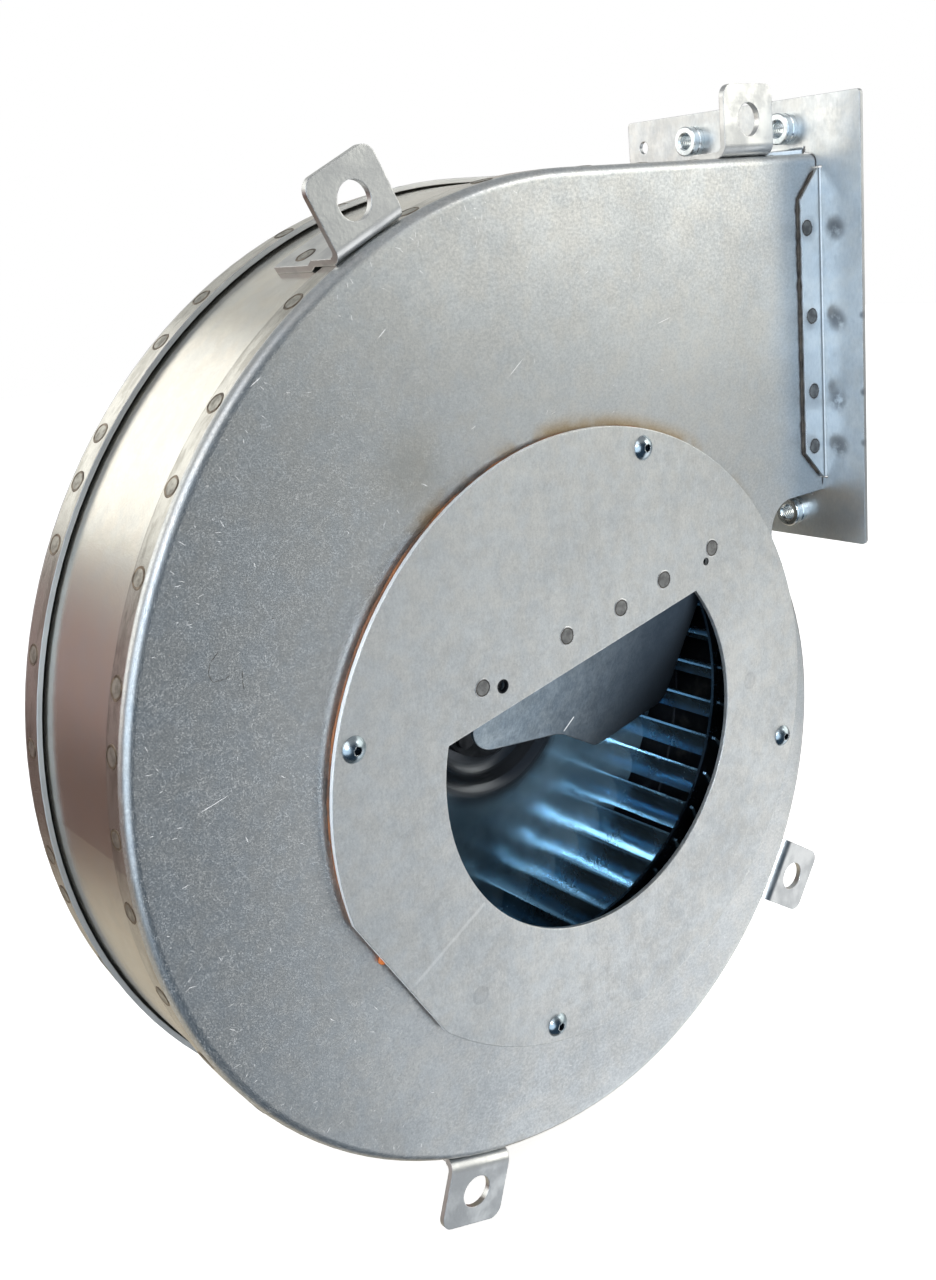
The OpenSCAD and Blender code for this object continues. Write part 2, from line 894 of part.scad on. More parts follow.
// Curved strip of one blade between two radii, grown by room on each face
module blade_section(r0, r1, room) {
    intersection() {
        difference() {
            circle(r1);
            circle(r0);
        }
        rotate(-blade_c_a)
            translate([blade_c_r, 0])
                difference() {
                    circle(blade_r + blade_t / 2 + room);
                    circle(blade_r - blade_t / 2 - room);
                }
        rotate(-blade_c_a)
            square([impeller_d, 2 * blade_r]);
    }
}

module blade_tab_section(room) {
    blade_section(tab_mid_r - blade_tab / 2 - room, tab_mid_r + blade_tab / 2 + room, room);
}

module impeller_front_ring() {
    color(lacquer)
        difference() {
            turn_y()
                translate([eye_r, ring_y])
                    square([blade_depth, ring_t]);
            ring_of(blade_count)
                sheet_y(ring_y - hair, ring_t + 2 * hair)
                    blade_tab_section(slot_room);
        }
}

module impeller_blades() {
    color(lacquer)
        ring_of(blade_count) {
            sheet_y(blade_y, blade_l)
                blade_section(eye_r, impeller_r, 0);
            sheet_y(ring_y - blade_tab_up, ring_t + blade_tab_up)
                blade_tab_section(0);
        }
}

// Face of the hub disc from its rim to its bore in radius and Y, back from the front by t
function disc_face(t) =
    let (rim = [cone_r, disc_y], top = [recess_top_r, recess_top_y], low = [floor_r, floor_y])
    let (bore = [shaft_r, floor_y])
    [for (p = concat([[impeller_r, disc_y], rim], corner_arc(rim, top, low, recess_r),
                     corner_arc(top, low, bore, recess_r), [bore])) p + [0, t]];

module impeller_hub_disc() {
    color(lacquer)
        difference() {
            turn_y()
                polygon(concat(disc_face(0), reverse(disc_face(disc_t))));
            ring_of(rivet_count, rivet_turn)
                translate([rivet_r, 0, 0])
                    sheet_y(floor_y - hair, disc_t + 2 * hair)
                        circle(rivet_d / 2);
        }
}

module impeller_hub() {
    flange_y = floor_y - hub_flange_t;
    color(lacquer)
        difference() {
            turn_y() {
                translate([shaft_r, flange_y])
                    square([hub_flange_r - shaft_r, hub_flange_t]);
                translate([shaft_r, hub_y])
                    square([hub_d / 2 - shaft_r, hub_l + hub_flange_t / 2]);
            }
            ring_of(rivet_count, rivet_turn)
                translate([rivet_r, 0, 0])
                    sheet_y(flange_y - hair, hub_flange_t + 2 * hair)
                        circle(rivet_d / 2);
            translate([0, hub_y + hub_l / 2, 0])
                cylinder(h = hub_d, d = set_screw_d);
        }
}

module hub_rivets() {
    l = disc_t + hub_flange_t;
    color(bright)
        ring_of(rivet_count, rivet_turn)
            translate([rivet_r, floor_y - hub_flange_t, 0])
                turn_y() {
                    square([rivet_d / 2, l]);
                    translate([0, -rivet_head])
                        square([rivet_d * 0.85, rivet_head]);
                    translate([0, l])
                        square([rivet_d * 0.85, rivet_head]);
                }
}

module hub_set_screw() {
    socket = set_screw_d * 0.5;
    color(graphite)
        translate([0, hub_y + hub_l / 2, 0])
            difference() {
                translate([0, 0, shaft_r])
                    cylinder(h = hub_d / 2 - shaft_r, d = set_screw_d);
                translate([0, 0, hub_d / 2 - socket])
                    cylinder(h = hub_d, d = socket, $fn = 6);
            }
}

module shaft() {
    color(bright)
        sheet_y(hub_y - shaft_nose, motor_end - motor_t - hub_y + shaft_nose)
            circle(shaft_r);
}

// Finned aluminium disc that keeps the shaft's heat from the motor
module cooling_disc() {
    base = spacer_y + cooler_gap;
    color(bright) {
        turn_y() {
            translate([shaft_r, base])
                square([cooler_r - shaft_r, cooler_t]);
            translate([shaft_r, base + cooler_t])
                square([cooler_hub_d / 2 - shaft_r, cooler_h]);
        }
        ring_of(cooler_fins)
            translate([cooler_hub_d / 2 - hair, base + cooler_t, -cooler_fin_t / 2])
                cube([cooler_r - cooler_hub_d / 2 - cooler_fin_t, cooler_h, cooler_fin_t]);
    }
}

module motor_plate() {
    color(steel)
        sheet_y(carrier_y, carrier_t)
            difference() {
                circle(carrier_r);
                circle(shaft_r + shaft_room + bush_wall);
                carrier_screw_places()
                    circle(screw_d / 2 + screw_room);
                tie_places()
                    circle(tie_d / 2 + screw_room);
            }
}

module motor_plate_seal() {
    color(graphite)
        sheet_y(rear_y, carrier_seal_t)
            difference() {
                circle(carrier_r - seal_inset);
                circle(carrier_hole_r + seal_inset);
                carrier_screw_places()
                    circle(screw_d / 2 + screw_room);
            }
}

module motor_plate_screws() {
    color(bright)
        ring_of(4, 45)
            translate([carrier_screw_r, spacer_y, 0])
                mirror([0, 1, 0])
                    button_screw(carrier_t + carrier_seal_t + 2 * sheet_t);
}

// Graphite bush that closes the gap round the shaft in the motor plate
module shaft_bush() {
    color(graphite)
        turn_y()
            translate([shaft_r + shaft_room, carrier_y - sheet_t])
                square([bush_wall, carrier_t + 2 * sheet_t]);
}

module tie_places() {
    for (i = [0 : 3])
        rotate(i * 90)
            translate([tie_r, 0])
                children();
}

module motor_spacers() {
    color(bright)
        sheet_y(spacer_y, spacer_l)
            tie_places()
                difference() {
                    circle(spacer_d / 2);
                    circle(tie_d / 2 + screw_room);
                }
}

// End bell with its bearing pocket, face at Y = 0 and open towards +Y
module end_bell(shaft_hole) {
    pocket_r = bearing_d / 2;
    difference() {
        turn_y() {
            translate([shaft_hole, 0])
                square([motor_r - shaft_hole, motor_t]);
            translate([pocket_r, motor_t])
                square([motor_t, bearing_w]);
            translate([motor_r - motor_t, motor_t])
                square([motor_t, bell_depth - motor_t]);
        }
        sheet_y(-hair, motor_t + 2 * hair) {
            tie_places()
                circle(tie_d / 2 + screw_room);
            for (i = [0 : vent_count - 1])
                rotate((i + 0.5) * 360 / vent_count) {
                    translate([vent_in_r, -vent_w / 2])
                        square([vent_out_r - vent_in_r, vent_w]);
                    for (r = [vent_in_r, vent_out_r])
                        translate([r, 0])
                            circle(vent_w / 2);
                }
        }
    }
}

module motor_front_bell() {
    color(graphite)
        translate([0, motor_y, 0])
            end_bell(shaft_r + shaft_room);
}

module motor_rear_bell() {
    color(graphite)
        translate([0, motor_end, 0])
            mirror([0, 1, 0])
                end_bell(shaft_r + shaft_room);
}

module motor_shell() {
    color(graphite)
        difference() {
            turn_y()
                translate([motor_r - motor_t, motor_y + bell_depth])
                    square([motor_t, motor_l - 2 * bell_depth]);
            translate([0, motor_y + motor_l / 2, -motor_r - motor_t])
                cylinder(h = 3 * motor_t, d = grommet_d);
        }
}

module motor_long_bolts() {
    under = motor_end - carrier_y + nut_h;
    color(bright) {
        sheet_y(motor_end - under, under)
            tie_places()
                circle(tie_d / 2);
        sheet_y(motor_end, tie_head_h)
            tie_places()
                circle(nut_d / 2, $fn = 6);
        sheet_y(carrier_y - nut_h, nut_h)
            tie_places()
                difference() {
                    circle(nut_d / 2, $fn = 6);
                    circle(tie_d / 2);
                }
    }
}

module stator_core() {
    bore_r = rotor_r + air_gap;
    color(steel)
        sheet_y(stack_y, stack_l)
            difference() {
                circle(motor_r - motor_t);
                circle(bore_r);
                tie_places()
                    circle(tie_d / 2 + screw_room);
                for (i = [0 : slot_count - 1])
                    rotate((i + 0.5) * 360 / slot_count)
                        translate([bore_r + winding_in, 0])
                            circle(slot_w / 2);
                translate([0, -motor_r])
                    circle(grommet_d / 2 + motor_t);
            }
}

module stator_windings() {
    inner = rotor_r + winding_in;
    outer = tie_r - winding_out;
    color([0.62, 0.34, 0.16])
        for (y = [stack_y - winding_h, stack_y + stack_l])
            turn_y()
                translate([inner, y])
                    square([outer - inner, winding_h]);
}

module rotor_core() {
    color(steel)
        sheet_y(stack_y, stack_l)
            difference() {
                circle(rotor_r);
                circle(shaft_r);
            }
}

// Shielded ball bearing with its front face at Y = 0
module bearing() {
    turn_y()
        difference() {
            translate([shaft_r + shaft_fit, 0])
                square([bearing_d / 2 - shaft_r - shaft_fit, bearing_w]);
            for (y = [-hair, bearing_w - bearing_step])
                translate([shaft_r + 2 * bearing_step, y])
                    square([bearing_d / 2 - shaft_r - 4 * bearing_step, bearing_step + hair]);
        }
}

module front_bearing() {
    color(bright)
        translate([0, motor_y + motor_t, 0])
            bearing();
}

module rear_bearing() {
    color(bright)
        translate([0, motor_end - motor_t - bearing_w, 0])
            bearing();
}

// Rubber grommet in the shell where the motor's lead would leave
module cable_grommet() {
    flange_d = grommet_d + 2 * grommet_wall;
    color(graphite)
        translate([0, motor_y + motor_l / 2, 0])
            difference() {
                union() {
                    translate([0, 0, -motor_r - grommet_out])
                        cylinder(h = grommet_out + motor_t, d = grommet_d);
                    translate([0, 0, -motor_r - grommet_out])
                        cylinder(h = grommet_out - grommet_wall, d = flange_d);
                }
                translate([0, 0, -2 * motor_r])
                    cylinder(h = 2 * motor_r, d = grommet_d - 3 * grommet_wall);
            }
}

front_side_plate();
rear_side_plate();
scroll_band();
outlet_flange();
flange_bushes();
lug_upper_left();
lug_top();
lug_right();
lug_bottom();
inlet_plate();
inlet_seal();
deflector_flap();
inlet_screws();
impeller_front_ring();
impeller_blades();
impeller_hub_disc();
impeller_hub();
hub_rivets();
hub_set_screw();
shaft();
cooling_disc();
motor_plate();
motor_plate_seal();
motor_plate_screws();
shaft_bush();
motor_spacers();
motor_front_bell();
motor_shell();
motor_rear_bell();
motor_long_bolts();
stator_core();
stator_windings();
rotor_core();
front_bearing();
rear_bearing();
cable_grommet();
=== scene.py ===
import math
import random

import bpy
from mathutils import Matrix, Vector, noise


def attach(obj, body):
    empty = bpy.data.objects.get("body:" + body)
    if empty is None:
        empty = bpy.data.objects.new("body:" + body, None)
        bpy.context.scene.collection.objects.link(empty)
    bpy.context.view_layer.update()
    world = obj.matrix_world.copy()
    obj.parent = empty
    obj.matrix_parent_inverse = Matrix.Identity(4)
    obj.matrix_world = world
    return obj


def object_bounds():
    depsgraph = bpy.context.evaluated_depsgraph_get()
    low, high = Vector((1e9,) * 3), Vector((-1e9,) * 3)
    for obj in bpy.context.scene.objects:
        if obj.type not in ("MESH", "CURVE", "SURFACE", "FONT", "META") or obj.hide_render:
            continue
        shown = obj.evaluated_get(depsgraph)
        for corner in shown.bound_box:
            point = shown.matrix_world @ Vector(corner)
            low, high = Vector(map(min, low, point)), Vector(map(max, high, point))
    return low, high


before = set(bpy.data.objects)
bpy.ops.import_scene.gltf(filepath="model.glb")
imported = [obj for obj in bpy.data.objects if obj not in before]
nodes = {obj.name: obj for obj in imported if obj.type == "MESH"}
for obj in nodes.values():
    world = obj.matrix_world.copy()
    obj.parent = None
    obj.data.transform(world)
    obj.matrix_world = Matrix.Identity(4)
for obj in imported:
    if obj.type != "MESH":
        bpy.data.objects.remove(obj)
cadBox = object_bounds()
print("frame loaded:", len(nodes), "nodes")

mm = 0.001
toRight, toRear, toTop = (1, 0, 0), (0, 1, 0), (0, 0, 1)
toFront, toFloor = (0, -1, 0), (0, 0, -1)


def tone(r, g=None, b=None):
    return (r, r if g is None else g, r if b is None else b, 1)


# a socket that takes part in Python expressions, and a tree that makes its nodes

class Wire:
    def __init__(self, owner, socket):
        self.owner, self.socket = owner, socket

    def calc(self, operation, a, b):
        return self.owner.node("Math", {"operation": operation}, {0: a, 1: b})

    def __add__(self, other):
        return self.calc("ADD", self, other)

    def __radd__(self, other):
        return self.calc("ADD", other, self)

    def __sub__(self, other):
        return self.calc("SUBTRACT", self, other)

    def __rsub__(self, other):
        return self.calc("SUBTRACT", other, self)

    def __mul__(self, other):
        return self.calc("MULTIPLY", self, other)

    def __rmul__(self, other):
        return self.calc("MULTIPLY", other, self)

    def __or__(self, other):
        return self.calc("MAXIMUM", self, other)

    def __ror__(self, other):
        return self.calc("MAXIMUM", other, self)


class Tree:
    def __init__(self, tree):
        self.tree = tree

    def node(self, kind, settings=None, sockets=None, out=0):
        made = self.tree.nodes.new("ShaderNode" + kind)
        for key, value in (settings or {}).items():
            setattr(made, key, value)
        for key, value in (sockets or {}).items():
            self.feed(made.inputs[key], value)
        return Wire(self, made.outputs[out])

    def feed(self, socket, value):
        if isinstance(value, Wire):
            self.tree.links.new(value.socket, socket)
        else:
            socket.default_value = value

    def parts(self, vector):
        first = self.node("SeparateXYZ", None, {0: vector})
        return [Wire(self, socket) for socket in first.socket.node.outputs]

    def vector(self, operation, *values, out=0):
        return self.node("VectorMath", {"operation": operation}, dict(enumerate(values)), out)

    def noise(self, scale, detail, rough, at=None):
        return self.node("TexNoise", None, {"Vector": at or self.place, "Scale": scale,
                                            "Detail": detail, "Roughness": rough})

    def span(self, value, low, high, newLow=0.0, newHigh=1.0):
        return self.node("MapRange", {"interpolation_type": "SMOOTHSTEP"},
                         {"Value": value, "From Min": low, "From Max": high,
                          "To Min": newLow, "To Max": newHigh})

    def patches(self, pattern, at=None):   # noise, spread between two levels
        grain, levels = pattern
        return self.span(self.noise(*grain, at), *levels)

    def blend(self, share, first, second):
        return self.node("Mix", {"data_type": "RGBA"}, {0: share, 6: first, 7: second}, out=2)


bevelSet = {"samples": 4, "wornLevels": (0.01, 0.12)}


class Finish(Tree):
    def __init__(self, name, **constants):
        self.material = bpy.data.materials.new(name)
        self.material.use_nodes = True
        super().__init__(self.material.node_tree)
        self.skin = self.tree.nodes["Principled BSDF"]
        self.wear(**constants)
        self.place = self.node("TexCoord", out="Object")

    def wear(self, **sockets):
        for key, value in sockets.items():
            self.feed(self.skin.inputs[key.replace("_", " ")], value)

    def stretched(self, scale):
        return self.node("Mapping", None, {"Vector": self.place, "Scale": scale})

    def facing(self):   # the face's own direction
        return self.node("NewGeometry", out="True Normal")

    def flatPlace(self):   # the place without its depth along the shaft
        return self.vector("MULTIPLY", self.place, (1, 0, 1))

    def fromShaft(self):
        return self.vector("LENGTH", self.flatPlace(), out=1)

    def past(self, value, limits, falling=False):   # 0 before the limits in mm and 1 after them, or the reverse
        ends = (1.0, 0.0) if falling else (0.0, 1.0)
        return self.span(value, *(v * mm for v in limits), *ends)

    def bevel(self, radius):
        return self.node("Bevel", {"samples": bevelSet["samples"]}, {"Radius": radius})

    def edges(self, radius):
        flat = self.node("NewGeometry", out="Normal")
        bent = 1 - self.vector("DOT_PRODUCT", self.bevel(radius), flat, out=1)
        return self.span(bent, *bevelSet["wornLevels"])

    def spot(self, centre, inner, outer):   # 1 at the centre, 0 outside
        far = self.vector("DISTANCE", self.place, tuple(v * mm for v in centre), out=1)
        return self.past(far, (inner, outer), falling=True)

    def stroke(self, start, end, width, core=0.2):   # 1 on a straight line between two points
        a, b = Vector(start) * mm, Vector(end) * mm
        along = self.vector("SUBTRACT", self.place, tuple(a))
        share = self.vector("DOT_PRODUCT", along, tuple((b - a) / (b - a).length_squared), out=1)
        share = self.node("Clamp", None, {0: share})
        foot = self.node("CombineXYZ", None, {i: share * (b - a)[i] for i in range(3)})
        far = self.vector("DISTANCE", along, foot, out=1)
        return self.past(far, (core * width, width), falling=True)

    def relief(self, height, depth, edge=0.0):
        normal = {"Normal": self.bevel(edge)} if edge else {}
        bump = self.node("Bump", None, {"Height": height, "Distance": depth, "Strength": 1.0, **normal})
        self.wear(Normal=bump)


def wearFinish(finish, *names):
    for name in names:
        mesh = nodes[name].data
        mesh.materials.clear()
        mesh.materials.append(finish.material)


def lean(value, target, share):   # the value, moved towards the target
    return value + (target - value) * share


# camera, placed as in the photograph

cameraSet = {
    "place": (-0.26692, -0.29362, 0.16302),
    "yaw": -39.188,
    "pitch": -15.701,
    "roll": -4.924,
    "focalPixels": 1321.8,
    "axisPixel": (520.5, 593.4),
    "image": (936, 1280),
    "sensor": 36.0,
    "nearClip": 0.01,
}


def placeCamera(settings):
    wide, high = settings["image"]
    data = bpy.data.cameras.new("studioCamera")
    data.sensor_fit = "AUTO"
    data.sensor_width = settings["sensor"]
    data.lens = settings["focalPixels"] / high * settings["sensor"]
    data.shift_x = (wide / 2 - settings["axisPixel"][0]) / high
    data.shift_y = (settings["axisPixel"][1] - high / 2) / high
    data.clip_start = settings["nearClip"]
    camera = bpy.data.objects.new("studioCamera", data)
    bpy.context.scene.collection.objects.link(camera)
    turn = (Matrix.Rotation(math.radians(settings["yaw"]), 4, "Z")
            @ Matrix.Rotation(math.radians(90 + settings["pitch"]), 4, "X")
            @ Matrix.Rotation(math.radians(settings["roll"]), 4, "Z"))
    camera.matrix_world = Matrix.Translation(settings["place"]) @ turn
    bpy.context.scene.camera = camera


placeCamera(cameraSet)


# floor, lights and the room that the metal mirrors

studioSet = {
    "floorSize": 6.0,
    "floorGap": 0.004,
    "floorTone": tone(0.92),
    "floorRough": 0.9,
    "floorGlow": 0.6,
    "backdrop": tone(1.0),
    "front": {   # before the part, from the shaded left to the lit right
        "shade": tone(0.04, 0.07, 0.105), "table": tone(1.45, 1.46, 1.46),
        "sill": tone(0.46, 0.48, 0.48), "window": tone(2.55, 2.50, 2.30),
        "lit": (0.36, 0.66), "tableEdge": (-0.42, -0.22),
        "windowEdge": (-0.12, 0.06), "windowLit": (0.44, 0.74),
        "low": tone(1.60, 1.65, 1.68), "lowEdge": (-0.64, -0.52), "lowLit": (0.30, 0.48),
    },
    "back": {   # behind it, from the table up to the ceiling
        "table": tone(0.56, 0.50, 0.40), "brown": tone(0.15, 0.085, 0.07),
        "dusk": tone(0.36, 0.25, 0.24), "ceiling": tone(0.70, 0.70, 0.66),
        "tableEdge": (-0.56, -0.36), "brownEdge": (-0.28, -0.06), "duskEdge": (0.02, 0.24),
    },
    "frontToBack": (-0.25, 0.25),
    "overhead": tone(0.42, 0.43, 0.44),
    "overheadEdge": (0.45, 0.70),
    "glows": [   # direction, where it starts and is full, colour
        ((-0.20, 0.90, 0.39), (0.950, 0.994), tone(1.90, 1.88, 1.78)),
        ((-0.77, 0.55, 0.31), (0.880, 0.980), tone(2.20, 2.18, 2.05)),
        ((-0.78, -0.62, 0.02), (0.800, 0.940), tone(1.40, 1.66, 1.92)),
        ((-0.64, -0.44, 0.63), (0.890, 0.970), tone(2.10, 2.12, 2.15)),
    ],
    "lights": {   # place, aim, watts, colour, and a disc's size or a cone's angle and softness
        "keyRight": ((0.75, -0.85, 0.75), (0.0, 0.0, 0.05), 1.2, (1.0, 0.98, 0.95), {"size": 0.35}),
        "throatSpot": ((-0.42, -0.38, 0.22), (0.012, 0.0, -0.012), 22.0, (0.92, 0.97, 1.0),
                       {"cone": 12.0, "blend": 0.5, "soft": 0.09}),
    },
}


def lightRoom(settings):
    world = bpy.data.worlds.new("studioRoom")
    world.use_nodes = True
    bpy.context.scene.world = world
    room = Tree(world.node_tree)
    way = room.node("TexCoord", out="Generated")
    x, y, z = room.parts(way)
    near, far = settings["front"], settings["back"]
    lit = room.blend(room.span(z, *near["tableEdge"]), near["table"], near["sill"])
    front = room.blend(room.span(x, *near["lit"]), near["shade"], lit)
    window = room.span(z, *near["windowEdge"]) * room.span(x, *near["windowLit"])
    front = room.blend(window, front, near["window"])
    low = room.span(z, *near["lowEdge"], 1.0, 0.0) * room.span(x, *near["lowLit"])
    front = room.blend(low, front, near["low"])
    back = room.blend(room.span(z, *far["tableEdge"]), far["table"], far["brown"])
    back = room.blend(room.span(z, *far["brownEdge"]), back, far["dusk"])
    back = room.blend(room.span(z, *far["duskEdge"]), back, far["ceiling"])
    colour = room.blend(room.span(y, *settings["frontToBack"]), front, back)
    colour = room.blend(room.span(z, *settings["overheadEdge"]), colour, settings["overhead"])
    for glowWay, edge, glow in settings["glows"]:
        facing = room.vector("DOT_PRODUCT", way, glowWay, out=1)
        colour = room.blend(room.span(facing, *edge), colour, glow)
    mirrored = room.node("Background", None, {"Color": colour, "Strength": 1.0})
    plain = room.node("Background", None, {"Color": settings["backdrop"], "Strength": 1.0})
    seen = room.node("LightPath", out="Is Camera Ray")
    both = room.node("MixShader", None, {0: seen, 1: mirrored, 2: plain})
    room.feed(world.node_tree.nodes["World Output"].inputs["Surface"], both)


def layFloor(settings):
    mesh = bpy.data.meshes.new("studioFloor")
    half, level = settings["floorSize"] / 2, cadBox[0].z - settings["floorGap"]
    corners = [(-half, -half, level), (half, -half, level), (half, half, level), (-half, half, level)]
    mesh.from_pydata(corners, [], [(0, 1, 2, 3)])
    floor = bpy.data.objects.new("studioFloor", mesh)
    bpy.context.scene.collection.objects.link(floor)
    floor.visible_glossy = False   # the metal mirrors the room instead
    paint = bpy.data.materials.new("floorPaint")
    paint.use_nodes = True
    skin = paint.node_tree.nodes["Principled BSDF"]
    skin.inputs["Base Color"].default_value = settings["floorTone"]
    skin.inputs["Roughness"].default_value = settings["floorRough"]
    skin.inputs["Emission Color"].default_value = tone(1.0)
    skin.inputs["Emission Strength"].default_value = settings["floorGlow"]
    mesh.materials.append(paint)


def hangLights(settings):
    for name, (place, aim, watts, colour, shape) in settings["lights"].items():
        data = bpy.data.lights.new(name, "SPOT" if "cone" in shape else "AREA")
        data.energy, data.color = watts, colour
        if "cone" in shape:
            data.spot_size, data.spot_blend = math.radians(shape["cone"]), shape["blend"]
            data.shadow_soft_size = shape["soft"]
        else:
            data.shape, data.size = "DISK", shape["size"]
        lamp = bpy.data.objects.new(name, data)
        bpy.context.scene.collection.objects.link(lamp)
        lamp.location = place
        lamp.rotation_euler = (Vector(aim) - Vector(place)).to_track_quat("-Z", "Y").to_euler()


bpy.context.scene.view_settings.view_transform = "Standard"
lightRoom(studioSet)
layFloor(studioSet)
hangLights(studioSet)
print("studio built")


# sheet steel of the housing: cloudy mill finish, fine speckle, worn edges
# a pattern is a noise's scale, detail and roughness, then the levels that it is spread between

sheetSet = {
    "plate": {"dark": tone(0.44, 0.465, 0.485), "light": tone(0.62, 0.64, 0.65), "rough": (0.28, 0.40),
              "grain": (0.8, 1, 1), "speck": 1.0, "mottle": 0.14, "dust": 0.43},
    "band": {"dark": tone(0.55, 0.54, 0.51), "light": tone(0.66, 0.65, 0.61), "rough": (0.16, 0.22),
             "grain": (1, 3, 1), "speck": 0.3, "mottle": 0.26, "dust": 0.06},
    "inlet": {"dark": tone(0.49, 0.51, 0.525), "light": tone(0.70, 0.72, 0.725), "rough": (0.38, 0.50),
              "grain": (1, 1, 0.6), "speck": 0.9, "mottle": 0.30, "dust": 0.36},
    # painted shade: the flap wears a much darker copy of the sheet steel
    "flap": {"dark": tone(0.16, 0.20, 0.24), "light": tone(0.32, 0.37, 0.41), "rough": (0.28, 0.38),
             "grain": (1, 1, 0.4), "speck": 0.6, "mottle": 0.30, "dust": 0.06},
    "flange": {"dark": tone(0.56, 0.60, 0.63), "light": tone(0.72, 0.75, 0.77), "rough": (0.28, 0.40),
               "grain": (1, 1, 0.5), "speck": 0.3, "mottle": 0.36, "dust": 0.1},
}
millSet = {   # what all sheets share
    "clouds": (22, 5, 0.62), "mottle": (190, 4, 0.62), "speck": (1700, 2, 0.6), "grain": (1100, 3, 0.7),
    "cloudShare": 0.34, "patchLevels": (0.31, 0.69),
    "dust": ((2500, 3, 0.65), (0.46, 0.68)),   # pale grains scatter light, also in the shade
    "dustField": ((380, 3, 0.6), (0.36, 0.64, 0.6, 1.3)),
    "hue": ((130, 3, 0.55), (0.36, 0.64)), "hueShare": 0.8, "warm": (1.035, 1.0, 0.96),
    "worn": ((420, 3, 0.7), (0.50, 0.62)), "wornRadius": 0.0009, "wornTone": tone(0.86, 0.87, 0.88),
    "wornShare": 0.7, "wornGloss": 0.10,
    "metal": 0.96,
    "relief": (0.35, 0.35, 0.3), "reliefDepth": 0.00004, "reliefEdge": 0.0005,
}


def sheetSteel(name, settings, mill):
    steel = Finish(name)
    dust = steel.patches(mill["dust"]) * steel.patches(mill["dustField"])
    steel.metal = mill["metal"] - dust * settings["dust"]
    clouds, mottle, speck = (steel.noise(*mill[key]) for key in ("clouds", "mottle", "speck"))
    grain = steel.noise(*mill["grain"], steel.stretched(settings["grain"]))
    cloudShare, mottleShare = mill["cloudShare"], settings["mottle"]
    patch = clouds * cloudShare + mottle * mottleShare + grain * (1 - cloudShare - mottleShare)
    patch = steel.span(patch, *mill["patchLevels"]) + (speck - 0.5) * settings["speck"]
    worn = steel.edges(mill["wornRadius"]) * steel.patches(mill["worn"])
    colour = steel.blend(patch, settings["dark"], settings["light"])
    warm = steel.vector("MULTIPLY", colour, mill["warm"])
    colour = steel.blend(steel.patches(mill["hue"]) * mill["hueShare"], colour, warm)
    steel.colour = steel.blend(worn * mill["wornShare"], colour, mill["wornTone"])
    smooth, rough = settings["rough"]
    steel.rough = steel.span(patch, 0, 1, rough, smooth) - worn * mill["wornGloss"]
    byMottle, bySpeck, byGrain = mill["relief"]
    height = mottle * byMottle + speck * bySpeck + grain * byGrain
    steel.relief(height, mill["reliefDepth"], mill["reliefEdge"])
    return steel


# the front and rear plates' folded rims are smooth like the band, with some grime

rimSet = {
    "start": (6.0, 7.2), "housingDepth": 74.5,
    "streak": ((160, 4, 0.65), (0.3, 0.7)),
    "grime": ((70, 4, 0.7), (0.46, 0.62)), "grimeStretch": (1, 3, 1),
    "grimeTone": tone(0.26, 0.25, 0.22), "grimeLeast": 0.38, "grimeMore": 0.4,
    "metal": 0.9,
}


def smoothRim(steel, settings, band):
    depth = steel.parts(steel.place)[1]
    rearStart = tuple(settings["housingDepth"] - v for v in reversed(settings["start"]))
    rim = steel.past(depth, settings["start"]) * steel.past(depth, rearStart, falling=True)
    streak = steel.patches(settings["streak"])
    grime = steel.patches(settings["grime"], steel.stretched(settings["grimeStretch"]))
    colour = steel.blend(streak, band["dark"], band["light"])
    grimeShare = grime * settings["grimeMore"] + settings["grimeLeast"]
    steel.colour = steel.blend(rim, steel.colour, steel.blend(grimeShare, colour, settings["grimeTone"]))
    smooth, rough = band["rough"]
    steel.rough = lean(steel.rough, steel.span(streak, 0, 1, rough, smooth), rim)
    steel.metal = lean(steel.metal, settings["metal"], rim)


# painted shade, mottled, on the faces inside the housing that look at the impeller

insideShadeSet = {
    "pattern": ((90, 4, 0.55), (0.2, 0.5, 0.75, 1.0)), "tone": tone(0.036, 0.044, 0.056), "rough": 0.25,
    "facing": (0.4, 0.6), "frontDepth": (6.0, 8.0), "rearDepth": (67.0, 69.0), "bandTurn": (-5.0, 5.0),
}


def insideShade(steel, settings, mask):
    insideShadeMask = steel.patches(settings["pattern"]) * mask
    steel.colour = steel.blend(insideShadeMask, steel.colour, settings["tone"])
    steel.rough = steel.rough + insideShadeMask * settings["rough"]


def plateInside(steel, settings):
    facing, depth = steel.parts(steel.facing())[1], steel.parts(steel.place)[1]
    low, high = settings["facing"]
    frontPlate = steel.span(facing, low, high) * steel.past(depth, settings["frontDepth"], falling=True)
    return frontPlate | steel.span(facing, -high, -low, 1.0, 0.0) * steel.past(depth, settings["rearDepth"])


def bandInside(steel, settings):
    outward = steel.vector("DOT_PRODUCT", steel.flatPlace(), steel.facing(), out=1)
    return steel.past(outward, settings["bandTurn"], falling=True)


# sheared faces scatter light more than the rolled ones; they are made paler, partly as their own finish and partly
# as a painted highlight on the rear rim's end and the inlet plate's edge

cutEdgeAndHighlightSet = {
    "tone": tone(0.88, 0.89, 0.90), "rough": 0.4, "metal": 0.5,
    "lipShare": 0.55, "lipFacing": (-0.6, -0.4), "lipEnd": (61.0, 62.0), "lipStart": (50.0, 55.0),
    "sideFacing": (0.2, 0.4), "sideFar": (80.0, 85.0),
}


def cutEdgeAndHighlight(steel, settings, mask):
    steel.colour = steel.blend(mask, steel.colour, settings["tone"])
    steel.rough = lean(steel.rough, settings["rough"], mask)
    steel.metal = steel.metal - mask * settings["metal"]


